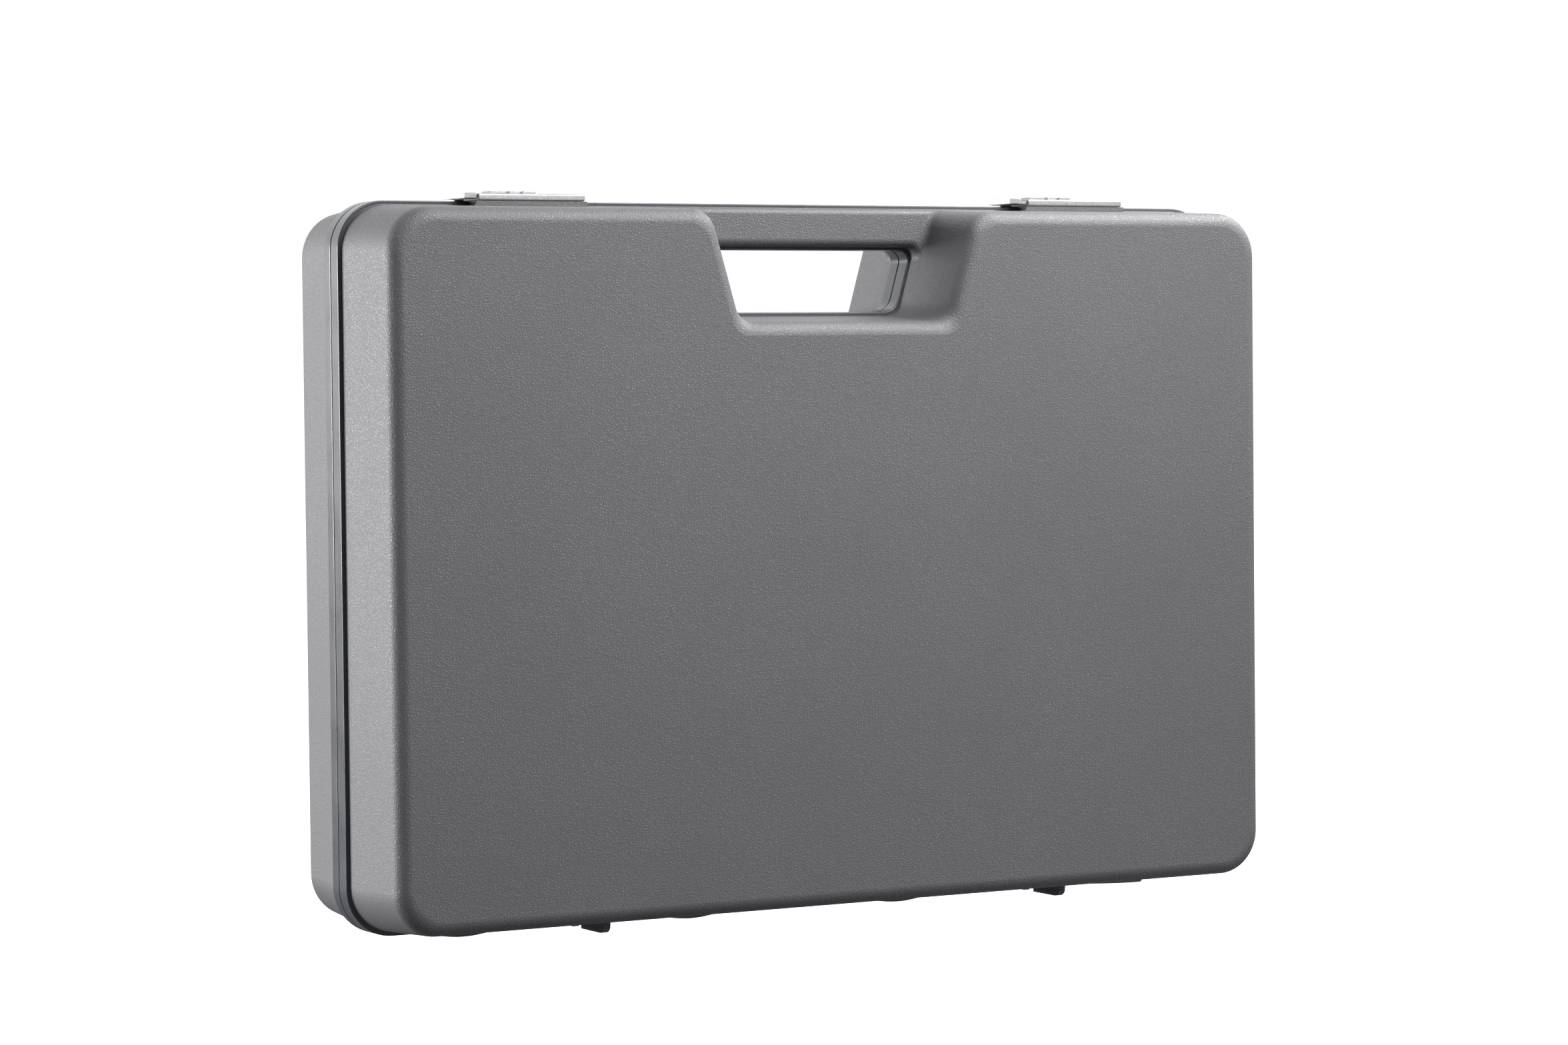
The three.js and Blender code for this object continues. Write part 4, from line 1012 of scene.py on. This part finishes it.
def make_adaptor(tools):
    """A reducing adaptor: hollow drive end below, smaller square on top."""
    low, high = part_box("drive_adaptor")
    centre = middle_of(low, high)
    centre[1] = high.y
    hollow, neck, small_square = tools.drive / 2 + SQUARE_PLAY, 0.008, 0.00475
    stations = [(0.014, hollow, 4), (0.0006, hollow, 4), (0, hollow * 1.1, 4), (0, 0.0104, 0),
                (0.0008, DRIVE_END, 0)]
    stations += grooves(tools, DRIVE_END, 0.005, 0.008) + [(0.0155, DRIVE_END, 0)]
    stations += blend_stations(0.0158, 0.022, DRIVE_END, neck)
    stations += [(0.0255, neck, 0), (0.026, 0.0075, 0), (0.026, small_square, 4), (0.0353, small_square, 4),
                 (0.036, 0.0041, 4)]
    complete(*turned(tools, "drive_adaptor", "base", stations, centre, 1, -1))


def make_t_bar(tools):
    """A plain bar with rounded stops, and the head that slides along it."""
    low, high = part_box("t_bar")
    centre = middle_of(low, high)
    centre[0] = low.x
    long, bar, stop = high.x - low.x, 0.0065, (high.z - low.z) / 2
    end = [(0, stop - 0.0012, 0), (0.0004, stop - 0.0004, 0), (0.0012, stop, 0), (0.0052, stop, 0),
           (0.006, stop - 0.0006, 0), (0.006, bar, 0)]
    stations = end + [(long - place, radius, 0) for place, radius, _ in end[::-1]]
    complete(*turned(tools, "t_bar", "base", stations, centre, 0))

    low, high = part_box("t_bar_head")
    centre = middle_of(low, high)
    centre[1] = low.y
    radius, half, long, shoulder = (high.z - low.z) / 2, tools.drive / 2, high.y - low.y, 0.022
    stations = [(0, radius - 0.0022, 0), (0.0008, radius - 0.0008, 0), (0.0022, radius, 0),
                (0.0202, radius, 0), (shoulder, radius - 0.0018, 0), (shoulder, half, 4),
                (long - 0.0008, half, 4), (long, half * 0.86, 4)]
    head, *about = turned(tools, "t_bar_head", "sliding_head", stations, centre, 1)
    bar_axis = (centre[0], low.y + shoulder / 2, centre[2])
    cut(head, rod(0, bar + 0.0003, -0.02, 0.02, bar_axis, 48))
    complete(head, *about)


def ratchet_head():
    """The head's middle, its radius, half of its thickness and its cover's radius."""
    low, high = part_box("ratchet_body")
    radius = (high.z - low.z) / 2
    middle = (low.x + radius, (low.y + high.y) / 2, (low.z + high.z) / 2)
    return middle, radius, (high.y - low.y) / 2, radius - 0.002


def make_ratchet_body(tools):
    """A round head with rounded edges (quarter circles), and a neck of ellipses whose width and thickness
    fall like a bell curve towards the shaft."""
    head, radius, half, cover_radius = ratchet_head()
    edge, turn = 0.0018, quarter(5)
    along, inset = edge * (1 - np.cos(turn)), edge * (1 - np.sin(turn))
    places = np.concatenate([-half + along, half - along[::-1]])
    radii = np.concatenate([radius - inset, radius - inset[::-1]])
    body = tapered_rod(1, radii, places, head, tools.sides)
    shaft, start, sides = 0.007, radius - 0.009, 48
    x = start + (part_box("ratchet_body")[1].x - head[0] - start) * np.linspace(0, 1, 22)
    width = shaft + 0.0085 * np.exp(-((x - start) / 0.016) ** 2)
    thick = shaft + 0.0018 * np.exp(-((x - start) / 0.02) ** 2)
    around = np.linspace(0, 2 * np.pi, sides, endpoint=False)
    rows = np.zeros((len(x), sides, 3))
    rows[:, :, 0] = head[0] + x[:, None]
    rows[:, :, 1] = head[1] + thick[:, None] * np.sin(around)
    rows[:, :, 2] = head[2] + width[:, None] * np.cos(around)
    join(body, skin("neck", rows))
    cut(body, rod(1, cover_radius, -half - PAST, -half + 0.002, head, 64),
        rod(1, 0.0123, -half - PAST, half + PAST, head, 64))
    complete(body, "set_ratchet_body", "base", "chrome_steel", "ratchet_body")


def make_ratchet_cover():
    """A disc with holes for the button and the lever's pin, and two slotted screws sunk in it."""
    head, _, half, cover_radius = ratchet_head()
    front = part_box("ratchet_cover")[0].y - head[1]
    disc, edge = cover_radius - 0.0003, 0.0004
    cover = tapered_rod(1, np.array([disc, disc, disc - edge]),
                        np.array([-half + 0.0018, front + edge, front]), head, 64)
    lever_x = JOINTS["reverser_turn"]["pos_m"][0]
    holes = [rod(1, 0.0073, front - PAST, -half + 0.003, head, 48),
             rod(1, 0.0014, -half - 0.002, 0, (lever_x, head[1], head[2]), 24)]
    seats = [(head[0] - 0.003, head[1], head[2] + side * 0.0122) for side in (-1, 1)]
    holes += [rod(1, 0.0017, front - PAST, front + 0.0005, seat, 32) for seat in seats]
    cut(cover, *holes)
    screws = []
    for x, y, z in seats:
        screw = tapered_rod(1, np.array([0.0014, 0.0014, 0.0010]),
                            np.array([front + 0.0006, front + 0.0002, front - 0.0001]), (x, y, z), 32)
        slot = plain_block((x - 0.002, y + front - PAST, z - 0.0002),
                           (x + 0.002, y + front + 0.0001, z + 0.0002))
        screws.append(cut(screw, slot))
    join(cover, *screws)
    complete(cover, "set_ratchet_cover", "base", "chrome_steel", "ratchet_cover")


def make_release_button():
    low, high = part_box("release_button")
    x, _, z = middle_of(low, high)
    button = tapered_rod(1, np.array([0.003, 0.003, 0.0026, 0.0016, 0.0004]),
                         np.array([high.y - low.y, 0.0006, 0.0002, 0.00003, 0.0]), (x, low.y, z), 40)
    complete(button, "set_release_button", "release", "dark_steel", "release_button")


def make_reversing_lever():
    """A round boss, and an arm whose half width dips by a squared sine wave before its round tip."""
    low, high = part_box("reversing_lever")
    lever_x, _, lever_z = JOINTS["reverser_turn"]["pos_m"]
    axis, deck, tip_radius = (lever_x, 0, lever_z), low.y + 0.0022, 0.0026
    boss = rod(1, 0.004, low.y, deck, axis, 40)
    share = np.linspace(0, 1, 12)
    half = (0.0034 - 0.0014 * np.sin(np.pi * np.minimum(share * 1.25, 1)) ** 2)[:-2]
    span = (lever_x + (high.x - lever_x) * share)[:-2]
    tip = arc(high.x - tip_radius, 0, tip_radius, 60, -60, 7)
    outline = np.concatenate([
        np.stack([span, lever_z + half], axis=-1), tip + [0, lever_z],
        np.stack([span, lever_z - half], axis=-1)[::-1]])
    join(boss, prism(1, outline, low.y, deck), rod(1, 0.0011, deck - 0.0005, high.y, axis, 24))
    bevel(boss, 0.0004, 2, 40)
    complete(boss, "set_reversing_lever", "reverser", "dark_steel", "reversing_lever")


def make_ratchet_grip():
    """A grip that swells by a squared sine wave, thins towards both ends and has 17 ribs round it."""
    low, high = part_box("ratchet_grip")
    centre, long, outer = middle_of(low, high), high.x - low.x, (high.z - low.z) / 2
    centre[0] = low.x
    share = np.linspace(0, 1, 160)
    swell = outer * (0.86 + 0.14 * np.sin(np.pi * (share * 1.15 - 0.35)) ** 2)
    swell -= outer * 0.3 * np.clip((0.05 - share) / 0.05, 0, 1) ** 2
    swell -= outer * 0.34 * np.clip((share - 0.93) / 0.07, 0, 1) ** 2
    ribs = 0.0006 * np.clip(np.sin(2 * np.pi * 17 * share), 0, 1) * ((share > 0.16) & (share < 0.86))
    stations = [(long * s, min(w, outer) - r, 0) for s, w, r in zip(share, swell, ribs)]
    grip = ring("set_ratchet_grip", stations, centre, 0, loop=False, sides=64)
    complete(grip, "set_ratchet_grip", "base", "grip_rubber", "ratchet_grip", sharp=45)


# ---- Tray and foam ----


def pocket(low, high, radius, face, floor, lip):
    """A pocket's cutter: a rounded rectangle in XZ that widens along a quarter circle at its lip and
    narrows along one at its floor."""
    turn = quarter(6)
    inner = 0.0015
    levels = [(floor - inner * (1 - np.sin(t)), -inner * (1 - np.cos(t))) for t in turn[::-1]]
    levels += [(face + lip * (1 - np.sin(t)), lip * (1 - np.cos(t))) for t in turn]
    levels.append((face - 0.004, lip))
    rows = []
    for y, grow in levels:
        outline = rounded_rectangle((low[0] - grow, low[1] - grow), (high[0] + grow, high[1] + grow),
                                    radius + grow, 15)
        rows.append(np.stack([outline[:, 0], np.full(len(outline), y), outline[:, 1]], axis=-1))
    return skin("pocket", np.stack(rows))


def round_pocket(centre, radius, face, floor, lip):
    low = (centre[0] - radius, centre[1] - radius)
    high = (centre[0] + radius, centre[1] + radius)
    return pocket(low, high, radius * 0.999, face, floor, lip)


def tray_pockets(tools, face, deepest):
    """One pocket for each tool, from the box of its CAD node. The universal joint's is as wide as its
    trough, to leave room for its swing."""
    lip, gap = tools.pocket_lip, tools.pocket_gap
    pockets = []
    nodes = [node for node in frame["nodes"] if node.startswith("socket_")]
    for node in sorted([*nodes, "joint_lower_yoke", "drive_adaptor"]):
        low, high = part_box(node)
        x, _, z = middle_of(low, high)
        radius = max(high.x - low.x, high.z - low.z) / 2 + gap
        if node == "joint_lower_yoke":
            trough_low, trough_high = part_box("joint_trough")
            radius = (trough_high.x - trough_low.x) / 2 - tools.pocket_wall
        pockets.append(round_pocket((x, z), radius, face, deepest, lip))
    for node in ("extension_long", "extension_short", "spark_plug_socket_21", "spark_plug_socket_16",
                 "t_bar"):
        low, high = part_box(node)
        _, depth, middle = middle_of(low, high)
        if node == "t_bar":
            ends, floor, half = 0.001, deepest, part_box("t_bar_head")[1].z - middle + gap
        else:
            ends, half = 0.003, max(DRIVE_END, socket_radius(0.021) if "spark" in node else 0) + gap
            floor = depth + half
        pockets.append(pocket((low.x - ends, middle - half), (high.x + ends, middle + half), 0.004,
                              face, floor, lip))
    (x, _, z), radius, *_ = ratchet_head()
    pockets.append(round_pocket((x, z), radius + gap, face, deepest, lip))
    low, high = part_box("ratchet_grip")
    half = (high.z - low.z) / 2 + gap
    pockets.append(pocket((x, z - half), (high.x + gap, z + half), 0.006, face,
                          (low.y + high.y) / 2 + half, lip))
    return pockets


def make_tray(case, tools):
    """The tray: a slab with a rounded edge that fills the base, cut by the tools' pockets and kept clear of
    the hand-hold."""
    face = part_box("tray")[0].y
    pocket_depth, sheet, play = 0.0344, 0.0016, 0.0009
    deepest = PARTING_Y + pocket_depth
    back = deepest + sheet
    edge, turn = 0.0015, quarter(5)
    inset = case.rim_step + case.wall + play
    levels = [(face + edge * (1 - np.cos(t)) - PARTING_Y, inset + edge * (1 - np.sin(t))) for t in turn]
    levels += [(case.base_rim, inset), (BASE_DEPTH - 0.0095, inset + case.draft + 0.0006),
               (back - PARTING_Y, inset + case.draft + 0.0045)]
    tray = case_slab("set_tray", case, 1, levels)
    half = hold_half_at(case, RIM_TOP, case.wall + case.hold_flare)
    room = rounded_block((-half, face - 0.006, case.hold_floor - 0.0085),
                         (half, back + 0.004, RIM_TOP + 0.02), 0.004, 6)
    cut(tray, room)
    cut(tray, *tray_pockets(tools, face, deepest))
    troughs = sorted(node for node in frame["nodes"] if "trough" in node)
    complete(tray, "set_tray", "base", "tray_plastic", "tray", *troughs)


def make_foam(case, tools):
    """The foam pad in the lid: a flat slab, held firm, with soft edges (quarter circles)."""
    low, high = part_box("lid_pad")
    soft, turn = tools.foam_round, quarter(6)
    inset = HALF_WIDTH - high.x
    levels = [(PARTING_Y - low.y, inset)]
    levels += [(PARTING_Y - high.y + soft * (1 - np.sin(t)), inset + soft * (1 - np.cos(t))) for t in turn]
    pad, play = case_slab("lid_foam", case, -1, levels), 0.0015
    cut(pad, recess(case, -1, LID_DEPTH, case.lid_rim, case.wall + play))
    complete(pad, "lid_foam", "lid", "foam", "lid_pad", sharp=40)


# ---- Operators ----


class BuildOperator:
    bl_options = {"REGISTER", "UNDO"}


class SOCKETCASE_OT_shells(BuildOperator, bpy.types.Operator):
    """Build the lid and the base of the case"""

    bl_idname = "socketcase.shells"
    bl_label = "Shells"

    def execute(self, context):
        scene = context.scene
        make_base(scene.case_sizes, scene.hinge_sizes)
        make_lid(scene.case_sizes, scene.hinge_sizes)
        return {"FINISHED"}


class SOCKETCASE_OT_latches(BuildOperator, bpy.types.Operator):
    """Build the latches, their keepers and rivets, and the hinge pins"""

    bl_idname = "socketcase.latches"
    bl_label = "Latches"

    def execute(self, context):
        latch = context.scene.latch_sizes
        for side in ("left", "right"):
            make_housing(latch, side)
            make_slide(latch, side)
            softened(f"latch_keeper_{side}", 0.0002, "base", "plated_steel")
            softened(f"hinge_pin_{side}", 0.0, "base", "plated_steel")
            for number in (1, 2):
                softened(f"latch_rivet_{side}_{number}", 0.0002, "lid", "plated_steel")
        return {"FINISHED"}


class SOCKETCASE_OT_tray(BuildOperator, bpy.types.Operator):
    """Build the tool tray and the foam pad in the lid"""

    bl_idname = "socketcase.tray"
    bl_label = "Tray and foam"

    def execute(self, context):
        scene = context.scene
        make_tray(scene.case_sizes, scene.tool_sizes)
        make_foam(scene.case_sizes, scene.tool_sizes)
        return {"FINISHED"}


class SOCKETCASE_OT_sockets(BuildOperator, bpy.types.Operator):
    """Build the hexagon sockets and the spark plug sockets"""

    bl_idname = "socketcase.sockets"
    bl_label = "Sockets"

    def execute(self, context):
        tools = context.scene.tool_sizes
        for node in sorted(frame["nodes"]):
            if node.startswith("socket_"):
                make_socket(tools, node, 1, tools.socket)
            if node.startswith("spark_plug_socket_"):
                make_socket(tools, node, 0, tools.spark_socket)
        return {"FINISHED"}


class SOCKETCASE_OT_drivers(BuildOperator, bpy.types.Operator):
    """Build the ratchet, the sliding T-bar, the extensions, the universal joint and the adaptor"""

    bl_idname = "socketcase.drivers"
    bl_label = "Drive tools"

    def execute(self, context):
        tools = context.scene.tool_sizes
        make_ratchet_body(tools)
        make_ratchet_cover()
        make_release_button()
        make_reversing_lever()
        make_ratchet_grip()
        make_t_bar(tools)
        for node in ("extension_long", "extension_short"):
            make_extension(tools, node)
        make_adaptor(tools)
        softened("ratchet_gear", 0.0, "ratchet_wheel", "dark_steel")
        softened("ratchet_pawl", 0.0002, "reverser", "dark_steel")
        softened("joint_lower_yoke", 0.0004, "base", "chrome_steel")
        softened("joint_cross", 0.0003, "joint_cross", "dark_steel")
        softened("joint_upper_yoke", 0.0004, "joint_output", "chrome_steel")
        return {"FINISHED"}


class SOCKETCASE_OT_stage(BuildOperator, bpy.types.Operator):
    """Build the camera, the studio lights and the floor"""

    bl_idname = "socketcase.stage"
    bl_label = "Stage"

    def execute(self, context):
        stage = context.scene.stage_sizes
        make_camera(stage)
        make_lights()
        make_surroundings(stage)
        return {"FINISHED"}


# ---- Stage ----


def make_camera(stage):
    data = bpy.data.cameras.new("camera")
    data.lens = stage.lens
    data.sensor_width = 36
    data.clip_start, data.clip_end = 0.05, 60
    camera = bpy.data.objects.new("camera", data)
    turn = (Matrix.Rotation(-stage.yaw, 4, "Z") @ Matrix.Rotation(math.pi / 2 - stage.pitch, 4, "X")
            @ Matrix.Rotation(stage.roll, 4, "Z"))
    camera.matrix_world = Matrix.Translation(stage.camera) @ turn
    bpy.context.scene.collection.objects.link(camera)
    bpy.context.scene.camera = camera


def softbox(name, place, target, width, height, power):
    data = bpy.data.lights.new(name, "AREA")
    data.shape = "RECTANGLE"
    data.size, data.size_y = width, height
    data.energy = power
    light = bpy.data.objects.new(name, data)
    aim = Vector(target) - Vector(place)
    light.matrix_world = Matrix.Translation(place) @ aim.to_track_quat("-Z", "Y").to_matrix().to_4x4()
    bpy.context.scene.collection.objects.link(light)


def make_lights():
    middle = (0, PARTING_Y, RIM_TOP / 2)
    softbox("left_softbox", (-1.68, 0.98, 0.26), middle, 1.2, 0.44, 61)
    softbox("top_softbox", (0.34, -0.32, 0.74), (0.1, -0.10, 0.0), 1.4, 0.3, 21)
    softbox("fill_softbox", (1.7, -1.5, 0.9), middle, 1.4, 1.4, 14)


def make_surroundings(stage):
    """A white world whose light on the object comes mostly from above and behind, and a pale floor."""
    scene = bpy.context.scene
    scene.view_settings.view_transform = "Standard"
    scene.view_settings.look = "None"
    world = bpy.data.worlds.new("studio")
    scene.world = world
    world.use_nodes = True
    tree = world.node_tree
    tree.nodes.clear()
    direction = add(tree, "ShaderNodeTexCoord").outputs["Generated"]
    parts = add(tree, "ShaderNodeSeparateXYZ", {0: direction})
    upward = ramp(tree, parts.outputs["Z"], -0.3, 0.9, 0.02, 0.2)
    behind = ramp(tree, parts.outputs["Y"], 0.1, 1.0, 0.0, 1.4)
    around = math_node(tree, "ADD", upward, behind)
    lit = add(tree, "ShaderNodeBackground", {"Color": (1, 1, 1, 1), "Strength": around})
    seen = add(tree, "ShaderNodeBackground", {"Color": (1, 1, 1, 1), "Strength": 1.1})
    to_camera = add(tree, "ShaderNodeLightPath").outputs["Is Camera Ray"]
    mixed = add(tree, "ShaderNodeMixShader", {0: to_camera, 1: lit.outputs[0], 2: seen.outputs[0]})
    add(tree, "ShaderNodeOutputWorld", {"Surface": mixed.outputs[0]})

    half, level = stage.floor_size / 2, -stage.floor_drop
    around = ((-half, -half), (half, -half), (half, half), (-half, half))
    corners = np.array([[x, y, level] for x, y in around])
    mesh = bpy.data.meshes.new("floor")
    mesh.from_pydata(corners.tolist(), [], [(0, 1, 2, 3)])
    floor = bpy.data.objects.new("floor", mesh)
    scene.collection.objects.link(floor)
    made, tree, shader, _ = finish("floor_paper", (0.9, 0.9, 0.9), 0.9, specular=0.1)
    shader.inputs["Emission Color"].default_value = (1, 1, 1, 1)
    shader.inputs["Emission Strength"].default_value = 1.0
    dark = add(tree, "ShaderNodeBsdfDiffuse", {"Color": (0.12, 0.12, 0.13, 1)})
    to_camera = add(tree, "ShaderNodeLightPath").outputs["Is Camera Ray"]
    mixed = add(tree, "ShaderNodeMixShader", {0: to_camera, 1: dark.outputs[0], 2: shader.outputs[0]})
    tree.links.new(mixed.outputs[0], tree.nodes["Material Output"].inputs["Surface"])
    wear(floor, made)


class SOCKETCASE_PT_panel(bpy.types.Panel):
    """Lists the pieces of the socket wrench case"""

    bl_label = "Socket Wrench Case"
    bl_idname = "SOCKETCASE_PT_panel"
    bl_space_type = "VIEW_3D"
    bl_region_type = "UI"
    bl_category = "Socket Case"

    def draw(self, context):
        column = self.layout.column()
        for operator in OPERATORS:
            column.operator(operator.bl_idname)
        for group in PROPERTY_GROUPS:
            settings = getattr(context.scene, group)
            box = self.layout.box()
            for name in settings.bl_rna.properties.keys():
                if name not in {"rna_type", "name"}:
                    box.prop(settings, name)


OPERATORS = (
    SOCKETCASE_OT_stage, SOCKETCASE_OT_shells, SOCKETCASE_OT_latches, SOCKETCASE_OT_tray,
    SOCKETCASE_OT_sockets, SOCKETCASE_OT_drivers,
)
PROPERTY_GROUPS = {
    "case_sizes": CaseSizes, "hinge_sizes": HingeSizes, "latch_sizes": LatchSizes, "tool_sizes": ToolSizes,
    "case_finishes": Finishes, "stage_sizes": StageSizes,
}


def register():
    for group in (*PROPERTY_GROUPS.values(), *OPERATORS, SOCKETCASE_PT_panel):
        bpy.utils.register_class(group)
    for name, group in PROPERTY_GROUPS.items():
        setattr(bpy.types.Scene, name, PointerProperty(type=group))


def unregister():
    for name in PROPERTY_GROUPS:
        delattr(bpy.types.Scene, name)
    for group in (SOCKETCASE_PT_panel, *reversed(OPERATORS), *PROPERTY_GROUPS.values()):
        bpy.utils.unregister_class(group)


def main():
    register()
    bpy.ops.socketcase.stage()
    bpy.ops.socketcase.shells()
    bpy.ops.socketcase.latches()
    bpy.ops.socketcase.tray()
    bpy.ops.socketcase.sockets()
    bpy.ops.socketcase.drivers()


if __name__ == "__main__":
    main()
